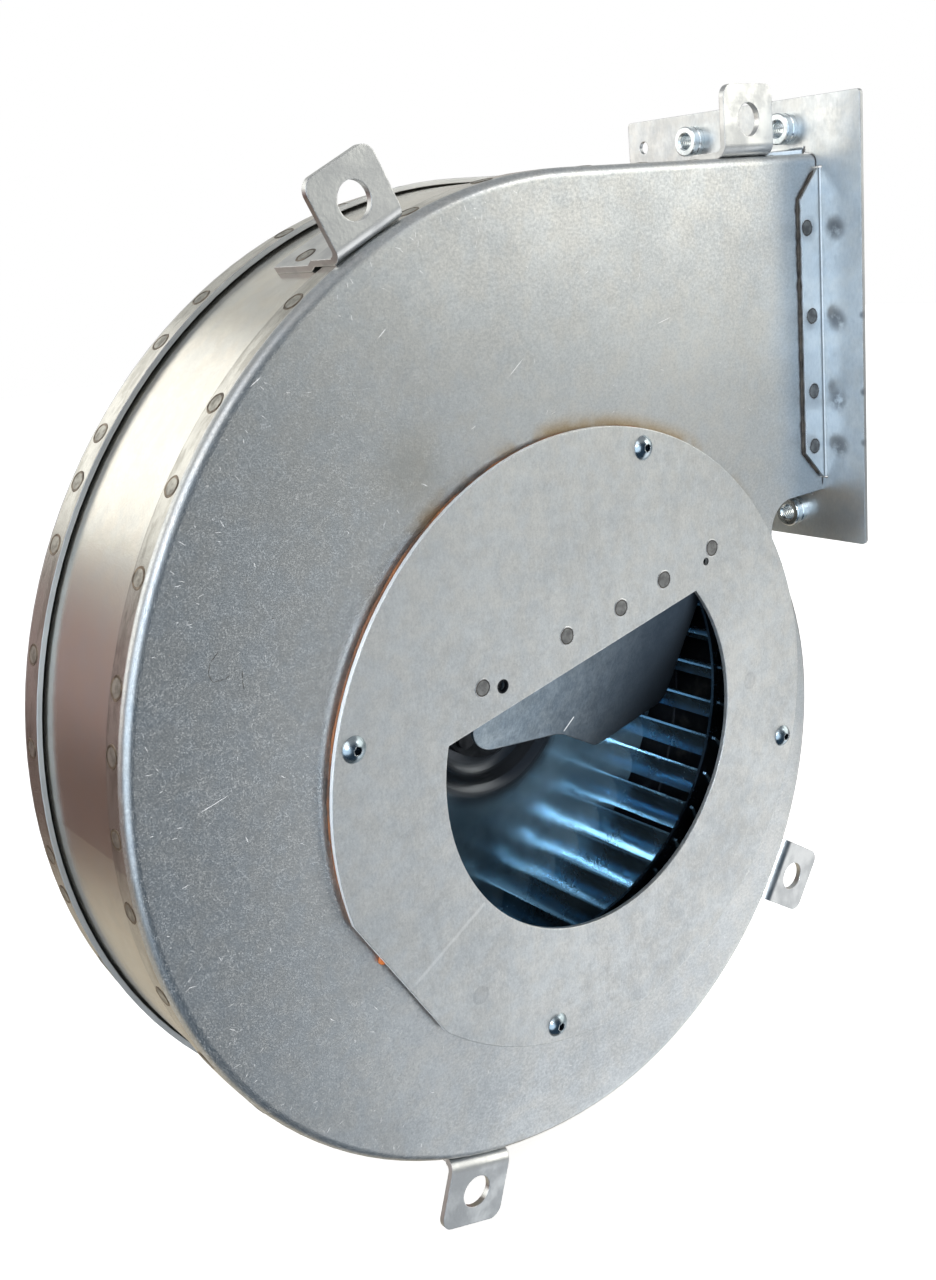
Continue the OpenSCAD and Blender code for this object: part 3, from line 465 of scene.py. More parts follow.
def lipEnd(steel, settings):   # the rear rim's end
    facing, depth = steel.parts(steel.facing())[1], steel.parts(steel.place)[1]
    end = steel.span(facing, *settings["lipFacing"], 1.0, 0.0)
    end = end * steel.past(depth, settings["lipEnd"], falling=True) * steel.past(depth, settings["lipStart"])
    return end * settings["lipShare"]


def inletSide(steel, settings):   # the inlet plate's round edge
    facing = steel.parts(steel.facing())[1]
    side = steel.span(facing * facing, *settings["sideFacing"], 1.0, 0.0)
    return side * steel.past(steel.fromShaft(), settings["sideFar"])


# rust on the front plate above the inlet plate, and a brown stain

rustSet = {
    "ring": (100.4, 107.0), "ringStart": 1.0, "height": (55.0, 85.0), "depth": (10.0, 20.0),
    "pattern": ((55, 3, 0.55), (0.36, 0.56)), "tone": tone(0.40, 0.27, 0.11), "share": 0.75, "rough": 0.2,
    "stain": (-60.0, 3.5, 99.5), "stainReach": (2.0, 17.0), "stainTone": tone(0.34, 0.30, 0.22), "stainShare": 0.3,
}


def plateRust(steel, settings):
    x, y, z = steel.parts(steel.place)
    far, inner = steel.fromShaft(), settings["ring"][0]
    ring = steel.past(far, settings["ring"], falling=True) * steel.past(far, (inner - settings["ringStart"], inner))
    ring = ring * steel.past(z, settings["height"]) * steel.past(y, settings["depth"], falling=True)
    ring = ring * steel.patches(settings["pattern"])
    steel.colour = steel.blend(ring * settings["share"], steel.colour, settings["tone"])
    stain = steel.spot(settings["stain"], *settings["stainReach"]) * settings["stainShare"]
    steel.colour = steel.blend(stain, steel.colour, settings["stainTone"])
    steel.rough = steel.rough + ring * settings["rough"]


# painted shade: the plate is darker beside the flange's front tab, as in the flange's shadow

tabShadeSet = {"from": (96.0, 114.0), "depth": (4.0, 5.0), "tone": tone(0.26, 0.295, 0.33), "share": 0.55}


def tabPaintedShade(steel, settings):
    x, y, z = steel.parts(steel.place)
    shadeBesideTab = steel.past(x, settings["from"]) * steel.past(y, settings["depth"], falling=True)
    steel.colour = steel.blend(shadeBesideTab * settings["share"], steel.colour, settings["tone"])


# heat marks on the flange, its darker rim, and its folded tabs made paler by a painted highlight

flangeSet = {
    "heatAndRimTone": tone(0.20, 0.21, 0.23),
    "heat": [(-4.1, 151.6), (-4.3, 120.3), (-4.1, 92.2), (-4.6, 75.6)],   # Y and Z behind the front tab's welds
    "heatX": 122.5, "heatReach": (1.2, 5.5), "heatPattern": ((300, 3, 0.55), (0.30, 0.55)),
    "heatShare": 0.75, "heatRough": 0.12,
    "edge": [122.0, 95.4, 77.4],   # Z of dark marks on the front edge
    "edgeX": 123.0, "edgeY": -15.0, "edgeReach": (0.5, 1.9),
    "rimFacing": (0.2, 0.5), "rimFrom": (121.2, 122.0), "rimShare": 0.7,
    "tabUpTo": (120.5, 121.2), "tabHighlightTone": tone(0.86, 0.90, 0.93), "tabHighlightShare": 0.2,
}


def flangeMarks(steel, settings):
    heat = 0.0
    for y, z in settings["heat"]:
        heat = heat | steel.spot((settings["heatX"], y, z), *settings["heatReach"])
    heat = heat * steel.patches(settings["heatPattern"])
    for z in settings["edge"]:
        heat = heat | steel.spot((settings["edgeX"], settings["edgeY"], z), *settings["edgeReach"])
    facing, x = steel.parts(steel.facing())[0], steel.parts(steel.place)[0]
    rim = steel.span(facing * facing, *settings["rimFacing"], 1.0, 0.0) * steel.past(x, settings["rimFrom"])
    highlightedTab = steel.past(x, settings["tabUpTo"], falling=True)
    steel.colour = steel.blend(rim * settings["rimShare"], steel.colour, settings["heatAndRimTone"])
    # painted highlight: the folded tabs are blended towards a paler tone
    steel.colour = steel.blend(highlightedTab * settings["tabHighlightShare"], steel.colour, settings["tabHighlightTone"])
    steel.colour = steel.blend(heat * settings["heatShare"], steel.colour, settings["heatAndRimTone"])
    steel.rough = steel.rough + heat * settings["heatRough"]


# a long bright streak and two faint rings on the inlet plate, and its two holes darkened by painted shade

inletSet = {
    "streak": ((-52.4, 0, -36.2), (-79.6, 0, -50.7)), "streakWidth": 0.9,
    "streakTone": tone(0.92), "streakShare": 0.35,
    "ghosts": [(-57.0, 0, -65.7), (74.0, 0, -1.0)], "ghostReach": (2.8, 3.3), "ghostCore": (1.8, 3.1),
    "coreFade": 0.5, "ghostTone": tone(0.20, 0.21, 0.23), "ghostShare": 0.22,
    "holes": [((-37.34, 0, 29.98), (2.1, 2.3)), ((53.98, 0, 47.57), (1.27, 1.36))],   # the first is countersunk
    "holeShade": tone(0.012, 0.014, 0.018),
}


def inletMarks(steel, settings):
    streak = steel.stroke(*settings["streak"], settings["streakWidth"])
    steel.colour = steel.blend(streak * settings["streakShare"], steel.colour, settings["streakTone"])
    for centre in settings["ghosts"]:
        core = steel.spot(centre, *settings["ghostCore"])
        ghost = steel.spot(centre, *settings["ghostReach"]) * (1 - core * settings["coreFade"])
        steel.colour = steel.blend(ghost * settings["ghostShare"], steel.colour, settings["ghostTone"])
    # painted shade: the two holes are darkened to near black
    holeShade = 0.0
    for centre, reach in settings["holes"]:
        holeShade = holeShade | steel.spot(centre, *reach)
    steel.colour = steel.blend(holeShade, steel.colour, settings["holeShade"])


# painted shade: the flap is darker towards its right end; it also has one bright scratch

flapSet = {
    "shade": (-60.0, 40.0), "shadeTone": tone(0.022, 0.030, 0.042), "shadeShare": 0.95,
    "scratch": ((-6.0, 10.1, 3.2), (-2.6, 9.0, 7.0)), "scratchWidth": 0.4,
    "scratchTone": tone(0.85, 0.87, 0.88), "scratchShare": 0.9, "scratchMetal": 0.5,
    "gloss": 0.25, "glossTint": tone(0.55, 0.62, 0.70),
}


def flapShade(steel, settings):
    shade = steel.past(steel.parts(steel.place)[0], settings["shade"]) * settings["shadeShare"]
    steel.colour = steel.blend(shade, steel.colour, settings["shadeTone"])
    scratch = steel.stroke(*settings["scratch"], settings["scratchWidth"])
    steel.colour = steel.blend(scratch * settings["scratchShare"], steel.colour, settings["scratchTone"])
    steel.metal = steel.metal - scratch * settings["scratchMetal"]
    steel.wear(Specular_IOR_Level=settings["gloss"], Specular_Tint=settings["glossTint"])


sheets = {key: sheetSteel(key + "Steel", settings, millSet) for key, settings in sheetSet.items()}
plateRust(sheets["plate"], rustSet)
tabPaintedShade(sheets["plate"], tabShadeSet)
smoothRim(sheets["plate"], rimSet, sheetSet["band"])
insideShade(sheets["plate"], insideShadeSet, plateInside(sheets["plate"], insideShadeSet))
cutEdgeAndHighlight(sheets["plate"], cutEdgeAndHighlightSet, lipEnd(sheets["plate"], cutEdgeAndHighlightSet))
insideShade(sheets["band"], insideShadeSet, bandInside(sheets["band"], insideShadeSet))
inletMarks(sheets["inlet"], inletSet)
cutEdgeAndHighlight(sheets["inlet"], cutEdgeAndHighlightSet, inletSide(sheets["inlet"], cutEdgeAndHighlightSet))
flapShade(sheets["flap"], flapSet)
flangeMarks(sheets["flange"], flangeSet)
for steel in sheets.values():
    steel.wear(Base_Color=steel.colour, Roughness=steel.rough, Metallic=steel.metal)
wearFinish(sheets["plate"], "front_side_plate", "rear_side_plate", "motor_plate")
wearFinish(sheets["band"], "scroll_band")
wearFinish(sheets["inlet"], "inlet_plate")
wearFinish(sheets["flap"], "deflector_flap")
wearFinish(sheets["flange"], "outlet_flange")


# bright zinc of bushes, lugs and screws, and turned steel

zincSet = {
    "cloud": ((110, 4, 0.6), (0.3, 0.7)), "speck": (900, 2, 0.5), "cloudShare": 0.7, "roughLevels": (0.2, 0.8),
    "worn": ((500, 2, 0.55), (0.45, 0.6)), "wornRadius": 0.0006, "wornTone": tone(0.9), "wornShare": 0.6,
    "reliefDepth": 0.00003, "reliefEdge": 0.0004,
    "socketReach": (1.35, 1.6), "socketShade": tone(0.015, 0.022, 0.03),   # painted shade in the screws' hexagon sockets
    "screwCircle": 95.0, "screwTurn": -16.8, "screwCount": 4, "socketY": -0.5,
}


def socketPlaces(settings):
    far, count = settings["screwCircle"], settings["screwCount"]
    turns = [math.radians(360 / count * i + settings["screwTurn"]) for i in range(count)]
    return [(far * math.cos(a), settings["socketY"], far * math.sin(a)) for a in turns]


def zincPlate(name, dark, light, rough, sockets=(), settings=zincSet):
    zinc = Finish(name, Metallic=1.0)
    cloud, speck = zinc.patches(settings["cloud"]), zinc.noise(*settings["speck"])
    body = cloud * settings["cloudShare"] + speck * (1 - settings["cloudShare"])
    worn = zinc.edges(settings["wornRadius"]) * zinc.patches(settings["worn"])
    colour = zinc.blend(worn * settings["wornShare"], zinc.blend(body, dark, light), settings["wornTone"])
    # painted shade in the hexagon sockets
    for centre in sockets:
        colour = zinc.blend(zinc.spot(centre, *settings["socketReach"]), colour, settings["socketShade"])
    zinc.wear(Base_Color=colour, Roughness=zinc.span(body, *settings["roughLevels"], rough[1], rough[0]))
    zinc.relief(speck, settings["reliefDepth"], settings["reliefEdge"])
    return zinc


lugZinc = zincPlate("lugZinc", tone(0.50, 0.51, 0.52), tone(0.66, 0.67, 0.67), (0.30, 0.42))
screwZinc = zincPlate("screwZinc", tone(0.50, 0.56, 0.59), tone(0.78, 0.83, 0.86), (0.16, 0.28))
socketZinc = zincPlate("socketZinc", tone(0.20, 0.26, 0.30), tone(0.48, 0.54, 0.58), (0.18, 0.30),
                       socketPlaces(zincSet))
turnedSteel = zincPlate("turnedSteel", tone(0.40, 0.41, 0.42), tone(0.58, 0.59, 0.60), (0.22, 0.34))
wearFinish(lugZinc, "lug_upper_left", "lug_top", "lug_right", "lug_bottom")
wearFinish(socketZinc, "inlet_screws")
wearFinish(screwZinc, "flange_bushes", "motor_plate_screws", "motor_long_bolts", "motor_spacers")
wearFinish(turnedSteel, "front_bearing", "rear_bearing")


# blue-black lacquer of the impeller, with painted shade and a dark reflection in the hub recess

lacquerSet = {
    "cloud": ((45, 3, 0.5), (0.25, 0.75)), "fine": (700, 2, 0.5), "toneShare": 0.8,
    "roughShare": 0.6, "roughLevels": (0.2, 0.8),
    "coat": 0.2, "coatRough": 0.1, "reliefDepth": 0.000004,
    "recess": tone(0.060, 0.050, 0.050), "recessEdge": (33.0, 40.0), "recessShare": 0.9,
}


def lacquer(name, deep, pale, rough, metal, settings=lacquerSet):
    coat = Finish(name, Metallic=metal, Coat_Weight=settings["coat"], Coat_Roughness=settings["coatRough"])
    cloud, fine = coat.patches(settings["cloud"]), coat.noise(*settings["fine"])
    colour = coat.blend(cloud * settings["toneShare"] + fine * (1 - settings["toneShare"]), deep, pale)
    # painted shade: the lacquer darkens inside the hub recess, near the shaft
    recess = coat.past(coat.fromShaft(), settings["recessEdge"], falling=True) * settings["recessShare"]
    haze = cloud * settings["roughShare"] + fine * (1 - settings["roughShare"])
    coat.wear(Base_Color=coat.blend(recess, colour, settings["recess"]),
              Roughness=coat.span(haze, *settings["roughLevels"], *rough))
    coat.relief(fine, settings["reliefDepth"])
    return coat


plainSet = {"detail": (4, 0.6), "levels": (0.3, 0.7), "finer": 5, "fineDetail": (3, 0.6), "edge": 0.0003}


def plainFinish(name, dark, light, rough, scale=180, metal=0.0, depth=0.00005, settings=plainSet):
    coat = Finish(name, Metallic=metal)
    cloud = coat.patches(((scale, *settings["detail"]), settings["levels"]))
    coat.wear(Base_Color=coat.blend(cloud, dark, light), Roughness=coat.span(cloud, 0, 1, rough[1], rough[0]))
    coat.relief(coat.noise(scale * settings["finer"], *settings["fineDetail"]), depth, settings["edge"])
    return coat


# painted light and shade: the hub disc wears a paler, less metallic copy of the blades' lacquer, the front ring a
# much darker one
bladeLacquer = lacquer("impellerLacquer", tone(0.18, 0.30, 0.39), tone(0.32, 0.48, 0.59), (0.20, 0.30), 0.95)
litDiscLacquer = lacquer("litDiscLacquer", tone(0.20, 0.36, 0.50), tone(0.42, 0.62, 0.76), (0.16, 0.25), 0.74)
shadedRingLacquer = lacquer("shadedRingLacquer", tone(0.05, 0.07, 0.09), tone(0.10, 0.13, 0.16), (0.20, 0.30), 1.0)
hubBlack = plainFinish("hubBlack", tone(0.020, 0.022, 0.026), tone(0.05, 0.052, 0.058), (0.30, 0.45), 150, 0.6)
wearFinish(bladeLacquer, "impeller_blades")
wearFinish(shadedRingLacquer, "impeller_front_ring")
wearFinish(litDiscLacquer, "impeller_hub_disc")
wearFinish(hubBlack, "impeller_hub", "hub_rivets", "hub_set_screw", "shaft")


# seals, paint, rubber and the motor's inside

sealSilicone = plainFinish("sealSilicone", tone(0.035, 0.032, 0.030), tone(0.34, 0.12, 0.035), (0.45, 0.6), 60)
sealOrange = plainFinish("sealOrange", tone(0.42, 0.09, 0.015), tone(0.62, 0.17, 0.02), (0.35, 0.5), 260)
darkSeal = plainFinish("darkSeal", tone(0.03), tone(0.08), (0.7, 0.9))
motorPaint = plainFinish("motorPaint", tone(0.02), tone(0.045), (0.35, 0.5), 90)
motorRubber = plainFinish("motorRubber", tone(0.012), tone(0.025), (0.6, 0.8))
castAluminium = plainFinish("castAluminium", tone(0.50, 0.51, 0.52), tone(0.68, 0.69, 0.70), (0.35, 0.5), 120, 1.0)
laminations = plainFinish("laminations", tone(0.16), tone(0.26), (0.4, 0.55), 120, 0.9)
copperWire = plainFinish("copperWire", tone(0.35, 0.13, 0.05), tone(0.55, 0.24, 0.10), (0.3, 0.45), 300, 0.9)
wearFinish(sealSilicone, "inlet_seal")
wearFinish(darkSeal, "motor_plate_seal", "shaft_bush")
wearFinish(motorPaint, "motor_front_bell", "motor_shell", "motor_rear_bell")
wearFinish(motorRubber, "cable_grommet")
wearFinish(castAluminium, "cooling_disc")
wearFinish(laminations, "stator_core", "rotor_core")
wearFinish(copperWire, "stator_windings")
print("finishes worn")


# pieces on the housing, in mm

def addPiece(name, points, faces, finishes, picks=None):
    mesh = bpy.data.meshes.new(name)
    mesh.from_pydata([[v * mm for v in p] for p in points], [], faces)
    for finish in finishes:
        mesh.materials.append(finish.material)
    for face in mesh.polygons:
        face.use_smooth = True
        face.material_index = picks[face.index] if picks else 0
    mesh.validate()
    piece = bpy.data.objects.new(name, mesh)
    bpy.context.scene.collection.objects.link(piece)
    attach(piece, "housing")


def circle(steps):
    return [2 * math.pi * i / steps for i in range(steps)]


def skinRings(rings, around):   # quads between rings of points, from each ring to the next
    faces = []
    for i in range(rings - 1):
        a, b = i * around, (i + 1) * around
        for j in range(around):
            k = (j + 1) % around
            faces.append((a + j, a + k, b + k, b + j))
    return faces


def rimSurface(centre, radius, angle, y):   # round a scroll arc: along the rim, across it, out of it
    def surface(u, w, h):
        a = math.radians(angle) + u / radius
        return (centre[0] + (radius + h) * math.cos(a), y + w, centre[1] + (radius + h) * math.sin(a))
    return surface


def flatSurface(point, along, across, out):
    def surface(u, w, h):
        return tuple(Vector(point) + u * Vector(along) + w * Vector(across) + h * Vector(out))
    return surface


# spot welds: a dished grey pool, a dark groove and a thin ring

weldSet = {
    "radius": 3.2, "size": 0.94, "sizeSpread": 0.10, "wobble": 0.07, "uneven": 0.5,
    "rings": ((0.0, 0.07), (0.45, 0.065), (0.79, 0.05), (0.92, 0.02), (0.98, 0.14), (1.07, -0.06)),
    "picks": (0, 0, 1, 2, 2),
    "steps": 22,
    "arcUpper": ((6.8, 13.2), 163.8),
    "arcLower": ((-9.8, 13.2), 147.2),
    "arcRight": ((-9.8, -13.2), 120.8),
    "frontY": 9.9,
    "rearY": 64.2,
    "frontUpper": (99.7, 109.3, 124.7, 136.7, 145.0, 153.4, 163.1, 169.2, 176.8),
    "frontLower": (-175.5, -165.1, -155.2, -145.6, -136.0, -126.4, -117.6, -102.0, -93.2),
    "frontRight": (-80.0, -68.2, -56.6, -45.0, -24.5, -12.8),
    "rearUpper": (97.0, 104.5, 111.9, 123.8, 130.2, 141.2, 146.4, 152.9, 163.8, 173.2),
    "rearLower": (-174.8, -169.6, -159.0, -150.0, -140.3, -130.6, -121.0, -111.2, -101.6),
    "rearRight": (-84.0, -72.3, -60.6, -49.0, -37.2, -25.5, -13.8),
    "topWall": 177.0,
    "frontTop": (18.0, 42.5, 66.0, 103.5),
    "rearTop": (20.0, 44.5, 69.0, 93.5),
    "inlet": ((-44.9, 31.7), (-10.5, 38.6), (13.2, 41.6), (33.4, 46.1), (57.3, 51.6)),
    "frontTab": ((115.0, 152.4), (116.7, 122.3), (116.9, 95.9), (116.7, 76.1)),
    "frontTabY": 2.0, "rearTabY": 72.5,
    "sideTab": (20.0, 37.0, 54.0), "sideTabX": 116.5, "topTabZ": 178.5, "lowTabZ": 57.5,
    "feet": (("Upper", 117.6), ("Right", -35.1), ("Lower", -110.0)),
    "footY": 29.0, "footRise": 0.5, "topFootX": 88,
}
weldPool = plainFinish("weldPool", tone(0.13, 0.13, 0.13), tone(0.25, 0.25, 0.245), (0.34, 0.46), 420, 0.75, 0.0001)
weldGroove = plainFinish("weldGroove", tone(0.03, 0.028, 0.025), tone(0.09, 0.08, 0.07), (0.4, 0.55), 420, 0.5)
weldRing = plainFinish("weldRing", tone(0.50, 0.51, 0.52), tone(0.72, 0.73, 0.74), (0.24, 0.36), 420, 0.95)
rimPool = plainFinish("rimPool", tone(0.18, 0.17, 0.15), tone(0.40, 0.39, 0.35), (0.28, 0.40), 420, 0.85, 0.0001)
rimBurn = plainFinish("rimBurn", tone(0.045, 0.032, 0.022), tone(0.22, 0.17, 0.12), (0.28, 0.42), 380, 0.6)
flatWeld = (weldPool, weldGroove, weldRing)
rimWeld = (rimPool, rimBurn, rimBurn)


def weldSpots(name, surfaces, settings, finishes):
    points, faces, picks = [], [], []
    steps, rings = settings["steps"], settings["rings"]
    for number, surface in enumerate(surfaces):
        first = len(points)
        shift = Vector((number * 3.7, len(surfaces) * 1.3, 0))   # each spot's own place in the noise
        size = settings["radius"] * (settings["size"] + settings["sizeSpread"] * noise.noise(shift))
        for share, height in rings[1:]:
            for a in circle(steps):
                c, s = math.cos(a), math.sin(a)
                wobble = 1 + settings["wobble"] * noise.noise(shift + Vector((c, s, 1.7)) * 1.6)
                uneven = 1 + settings["uneven"] * noise.noise(shift + Vector((c, s, share)) * 2.2)
                r = size * share * wobble
                points.append(surface(r * c, r * s, height * uneven))
        middle = len(points)
        points.append(surface(0, 0, rings[0][1]))
        for i in range(steps):
            j = (i + 1) % steps
            faces.append((middle, first + i, first + j))
            picks.append(settings["picks"][0])
            for ring in range(len(rings) - 2):
                a, b = first + ring * steps, first + (ring + 1) * steps
                faces.append((a + i, b + i, b + j, a + j))
                picks.append(settings["picks"][ring + 1])
    addPiece(name, points, faces, finishes, picks)


def rimSpots(settings, side):
    y = settings[side + "Y"]
    spots = []
    for part in ("Upper", "Lower", "Right"):
        centre, radius = settings["arc" + part]
        spots += [rimSurface(centre, radius, angle, y) for angle in settings[side + part]]
    for x in settings[side + "Top"]:
        spots.append(flatSurface((x, y, settings["topWall"]), toRight, toRear, toTop))
    return spots


def inletSpots(settings):
    return [flatSurface((x, 0, z), toRight, toTop, toFront) for x, z in settings["inlet"]]


def tabSpots(settings):
    spots = []
    for y, out in ((settings["frontTabY"], toFront), (settings["rearTabY"], toRear)):
        spots += [flatSurface((x, y, z), toRight, toTop, out) for x, z in settings["frontTab"]]
    for y in settings["sideTab"]:
        for z, out in ((settings["topTabZ"], toTop), (settings["lowTabZ"], toFloor)):
            spots.append(flatSurface((settings["sideTabX"], y, z), toRight, toRear, out))
    return spots


def footSpots(settings):
    spots, y, rise = [], settings["footY"], settings["footRise"]
    for part, angle in settings["feet"]:
        centre, radius = settings["arc" + part]
        spots.append(rimSurface(centre, radius + rise, angle, y))
    spots.append(flatSurface((settings["topFootX"], y, settings["topWall"] + rise), toRight, toRear, toTop))
    return spots


weldSpots("frontRimWelds", rimSpots(weldSet, "front"), weldSet, rimWeld)
weldSpots("rearRimWelds", rimSpots(weldSet, "rear"), weldSet, rimWeld)
weldSpots("inletWelds", inletSpots(weldSet), weldSet, flatWeld)
weldSpots("tabWelds", tabSpots(weldSet), weldSet, flatWeld)
weldSpots("footWelds", footSpots(weldSet), weldSet, rimWeld)
print("welds set")


# threads in the flange's bushes

threadSet = {
    "bushes": [(117.9, y, z) for y in (15.75, 58.75) for z in (50.0, 186.0)],
    "length": 5.6, "radius": 2.52, "pitch": 1.0, "depth": 0.34,
    "flank": 0.42,   # half a ridge's foot, in pitches
    "steps": 20,
}


def threadCoil(points, faces, place, settings):
    turn = Vector(toRight).to_track_quat("Z", "Y").to_matrix()
    radius, pitch, steps = settings["radius"], settings["pitch"], settings["steps"]
    flank = settings["flank"] * pitch
    first = len(points)
    count = int(settings["length"] / pitch * steps)
    for i in range(count + 1):
        a = 2 * math.pi * i / steps
        rise = pitch * i / steps
        fade = min(1, i / steps, (count - i) / steps)   # the ridge runs out at both ends
        for r, d in ((radius, -flank), (radius - settings["depth"] * fade, 0), (radius, flank)):
            points.append(tuple(Vector(place) + turn @ Vector((r * math.cos(a), r * math.sin(a), rise + d))))
    for i in range(count):
        a, b = first + 3 * i, first + 3 * (i + 1)
        faces += [(a, b, b + 1, a + 1), (a + 1, b + 1, b + 2, a + 2)]


def cutThreads(settings):
    points, faces = [], []
    for place in settings["bushes"]:
        threadCoil(points, faces, place, settings)
    addPiece("bushThreads", points, faces, (screwZinc,))


cutThreads(threadSet)
print("threads cut")


# silicone that was pressed out at the inlet plate's edge

beadSet = {
    "plateRadius": 101.0,
    "flatWay": -150.3,
    "flatDistance": 86.5,
    "y": 2.6, "sunk": 0.55,
    "thick": (0.35, 0.95), "thickMean": 0.35, "thickSpread": 0.8,
    "waves": (9, 30), "fineWave": 0.5,
    "squash": 0.8, "tallest": 0.75,
    "steps": 420,
    "round": 8,
    "blob": (-88.2, 2.9, -39.8), "blobSize": (1.9, 1.0, 1.8), "blobSwell": 0.28, "blobRows": 8, "blobRound": 18,
}


def pressedBead(settings):
    points, faces = [], []
    steps, around = settings["steps"], settings["round"]
    low, high = settings["thick"]
    broad, fine = settings["waves"]
    for a in circle(steps):
        c, s = math.cos(a), math.sin(a)
        far = settings["plateRadius"]
        off = math.cos(a - math.radians(settings["flatWay"]))
        if off > 0:
            far = min(far, settings["flatDistance"] / off)
        wave = noise.noise(Vector((c * broad, s * broad, 0.3)))
        wave += settings["fineWave"] * noise.noise(Vector((c * fine, s * fine, 4.1)))
        share = settings["thickMean"] + settings["thickSpread"] * wave
        thick = low + (high - low) * max(0, min(1, share))
        tall = settings["squash"] * min(thick, settings["tallest"])
        for b in circle(around):
            r = far - settings["sunk"] + thick * math.cos(b)
            points.append((r * c, settings["y"] + tall * math.sin(b), r * s))
    for i in range(steps):
        a, b = i * around, (i + 1) % steps * around
        for j in range(around):
            k = (j + 1) % around
            faces.append((a + j, b + j, b + k, a + k))
    addPiece("sealBead", points, faces, (sealSilicone,))


def pressedBlob(settings):
    points = []
    rows, around = settings["blobRows"], settings["blobRound"]
    for i in range(rows + 1):
        p = math.pi * i / rows
        for t in circle(around):
            way = Vector((math.sin(p) * math.cos(t), math.cos(p), math.sin(p) * math.sin(t)))
            swell = 1 + settings["blobSwell"] * noise.noise(way * 1.7 + Vector((2.2, 0, 5.1)))
            points.append(tuple(c + s * v * swell for c, s, v in zip(settings["blob"], settings["blobSize"], way)))
    addPiece("sealBlob", points, skinRings(rows + 1, around), (sealOrange,))


pressedBead(beadSet)
pressedBlob(beadSet)
print("seal pressed out")


# painted shadow and grime: a dark bead in the corner between the front tab and the plate, along the tab's edge

tabShadowSet = {
    "path": ((121.4, 171.6), (111.8, 162.0), (111.8, 74.0), (121.4, 64.4)),
    "y": 3.3, "thick": 0.75, "uneven": 0.6, "wave": 0.35, "squash": 0.8,
    "step": 0.8, "round": 7,
    "runOut": 3, "startShare": 0.3,   # it thins out over the first and last few rings
}
tabShadowAndGrime = plainFinish("tabShadowAndGrime", tone(0.030, 0.026, 0.024), tone(0.10, 0.085, 0.07), (0.35, 0.55), 260, 0.3)


def tabShadowBead(settings):
    spine = []
    for (x0, z0), (x1, z1) in zip(settings["path"], settings["path"][1:]):
        count = max(2, round(math.hypot(x1 - x0, z1 - z0) / settings["step"]))
        spine += [(x0 + (x1 - x0) * i / count, z0 + (z1 - z0) * i / count) for i in range(count)]
    spine.append(settings["path"][-1])
    points, last = [], len(spine) - 1
    start, runOut, wave = settings["startShare"], settings["runOut"], settings["wave"]
    for i, (x, z) in enumerate(spine):
        (xa, za), (xb, zb) = spine[max(0, i - 1)], spine[min(last, i + 1)]
        length = math.hypot(xb - xa, zb - za)
        side = ((zb - za) / length, -(xb - xa) / length)
        thick = settings["thick"] * (1 + settings["uneven"] * noise.noise(Vector((x * wave, z * wave, 2.0))))
        thick *= min(1, (i + start) / runOut, (last + start - i) / runOut)
        for b in circle(settings["round"]):
            wide, tall = thick * math.cos(b), settings["squash"] * thick * math.sin(b)
            points.append((x + side[0] * wide, settings["y"] + tall, z + side[1] * wide))
    addPiece("tabShadowAndGrime", points, skinRings(len(spine), settings["round"]), (tabShadowAndGrime,))


tabShadowBead(tabShadowSet)
print("grime laid")


# nicks and scratches from handling, raised as bright slivers

nickSet = {
    "seed": 11,
    "edgeCount": 100, "edgeBand": (4.5, 15.0), "upperArc": (96, 178), "lowerArc": (-178, -120), "turnSpread": 0.5,
    "plateCount": 50, "plateX": (-140, 105), "plateZ": (-120, 168), "plateFar": 105, "plateReach": 138,
    "bareX": 60, "bareZ": 70,   # none to the right of this and below it
    "length": (0.6, 2.6),
    "width": (0.09, 0.19),
    "outline": ((-0.5, 0), (-0.2, 0.5), (0.2, 0.5), (0.5, 0), (0.2, -0.5), (-0.2, -0.5)),
    "y": 3.5, "foot": 0.012, "crest": 0.045,
    "long": [((-137.4, 24.0), (-127.8, 26.1)), ((40.0, 128.0), (46.5, 129.5)), ((-22.0, 120.0), (-16.0, 124.5)),
             ((-66.0, 136.0), (-62.8, 138.5)), ((-105.6, 128.8), (-102.0, 131.0))],
    "longWidth": 0.22,
    "dark": [[(-124.4, 64.7), (-127.4, 62.4), (-128.4, 59.5), (-127.5, 57.1), (-123.9, 57.0), (-122.6, 57.6)],
             [(-118.9, 57.8), (-119.3, 55.4), (-119.2, 52.8)], [(-108.5, 69.3), (-107.8, 68.9)]],
    "darkWidth": 0.3,
}
nickBright = plainFinish("nickBright", tone(0.80), tone(0.95), (0.30, 0.42), 600, 0.2)


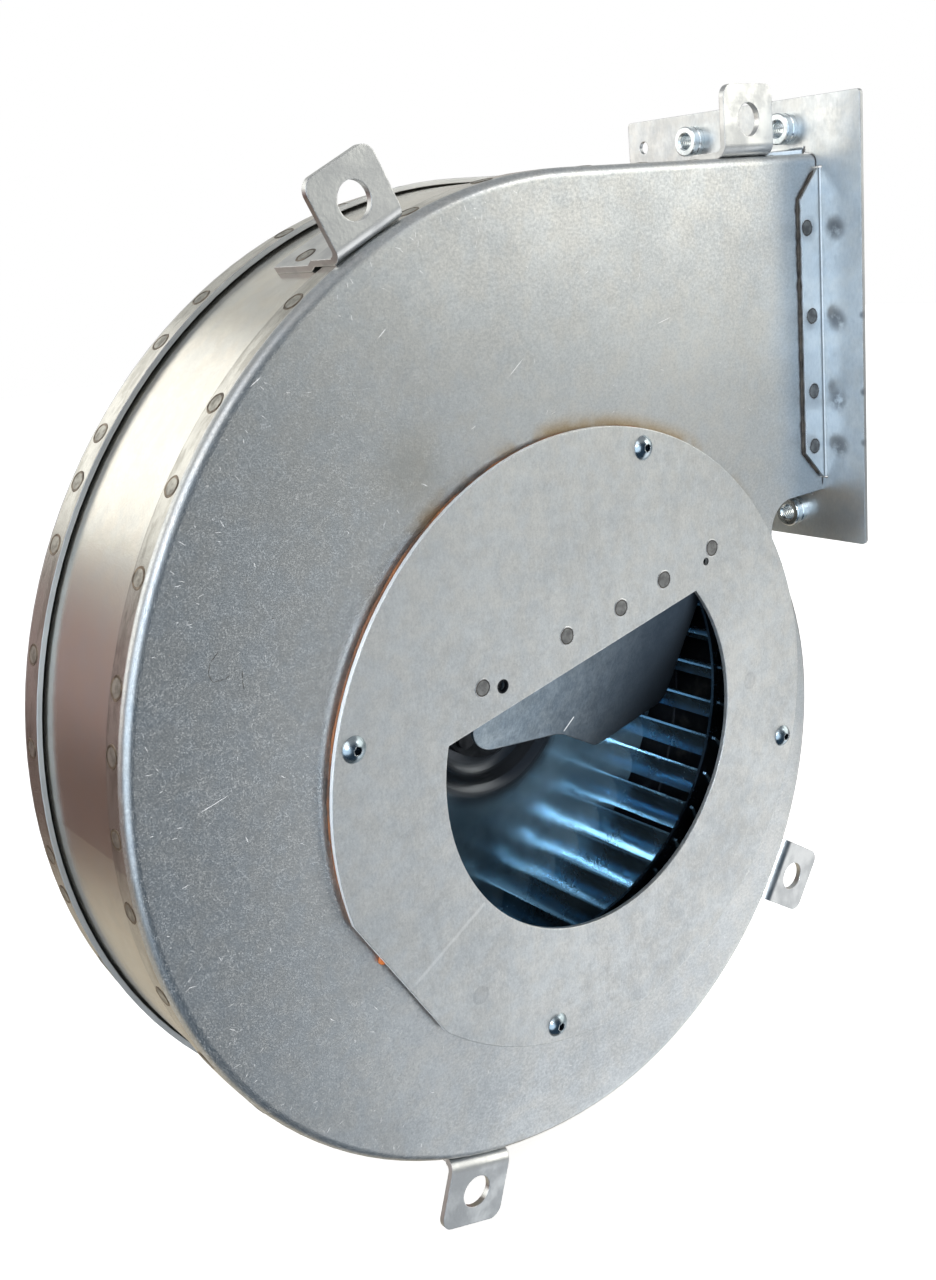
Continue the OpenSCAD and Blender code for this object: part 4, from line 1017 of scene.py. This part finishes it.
def nickPlaces(settings, dice):
    places = []
    near, wide = settings["edgeBand"][0], settings["edgeBand"][1] - settings["edgeBand"][0]
    for i in range(settings["edgeCount"]):   # every third one is on the lower arc
        centre, radius = weldSet["arcUpper"] if i % 3 else weldSet["arcLower"]
        a = math.radians(dice.uniform(*settings["upperArc" if i % 3 else "lowerArc"]))
        r = radius - near - wide * dice.random() ** 2
        x, z = centre[0] + r * math.cos(a), centre[1] + r * math.sin(a)
        places.append((x, z, dice.gauss(a, settings["turnSpread"])))
    middle = weldSet["arcLower"][0]
    while len(places) < settings["edgeCount"] + settings["plateCount"]:
        x, z = dice.uniform(*settings["plateX"]), dice.uniform(*settings["plateZ"])
        bare = x > settings["bareX"] and z < settings["bareZ"]
        inside = math.dist((x, z), middle) < settings["plateReach"]
        if settings["plateFar"] < math.hypot(x, z) and not bare and inside:
            places.append((x, z, dice.uniform(0, math.pi)))
    return places


def handlingNicks(settings):
    dice = random.Random(settings["seed"])
    points, faces = [], []
    footY, crestY = settings["y"] - settings["foot"], settings["y"] - settings["crest"]

    def sliver(x, z, a, length, width):
        first, count = len(points), len(settings["outline"])
        c, s = math.cos(a), math.sin(a)
        for u, w in settings["outline"]:
            points.append((x + u * length * c - w * width * s, footY, z + u * length * s + w * width * c))
        points.append((x, crestY, z))
        faces.extend((first + i, first + (i + 1) % count, first + count) for i in range(count))

    def scratch(start, end, width):
        (x0, z0), (x1, z1) = start, end
        sliver((x0 + x1) / 2, (z0 + z1) / 2, math.atan2(z1 - z0, x1 - x0), math.dist(start, end) + width, width)

    for x, z, a in nickPlaces(settings, dice):
        sliver(x, z, a, dice.uniform(*settings["length"]), dice.uniform(*settings["width"]))
    for start, end in settings["long"]:
        scratch(start, end, settings["longWidth"])
    bright = len(faces)
    for curl in settings["dark"]:
        for start, end in zip(curl, curl[1:]):
            scratch(start, end, settings["darkWidth"])
    picks = [0] * bright + [1] * (len(faces) - bright)
    addPiece("handlingNicks", points, faces, (nickBright, weldPool), picks)


handlingNicks(nickSet)
print("nicks made")
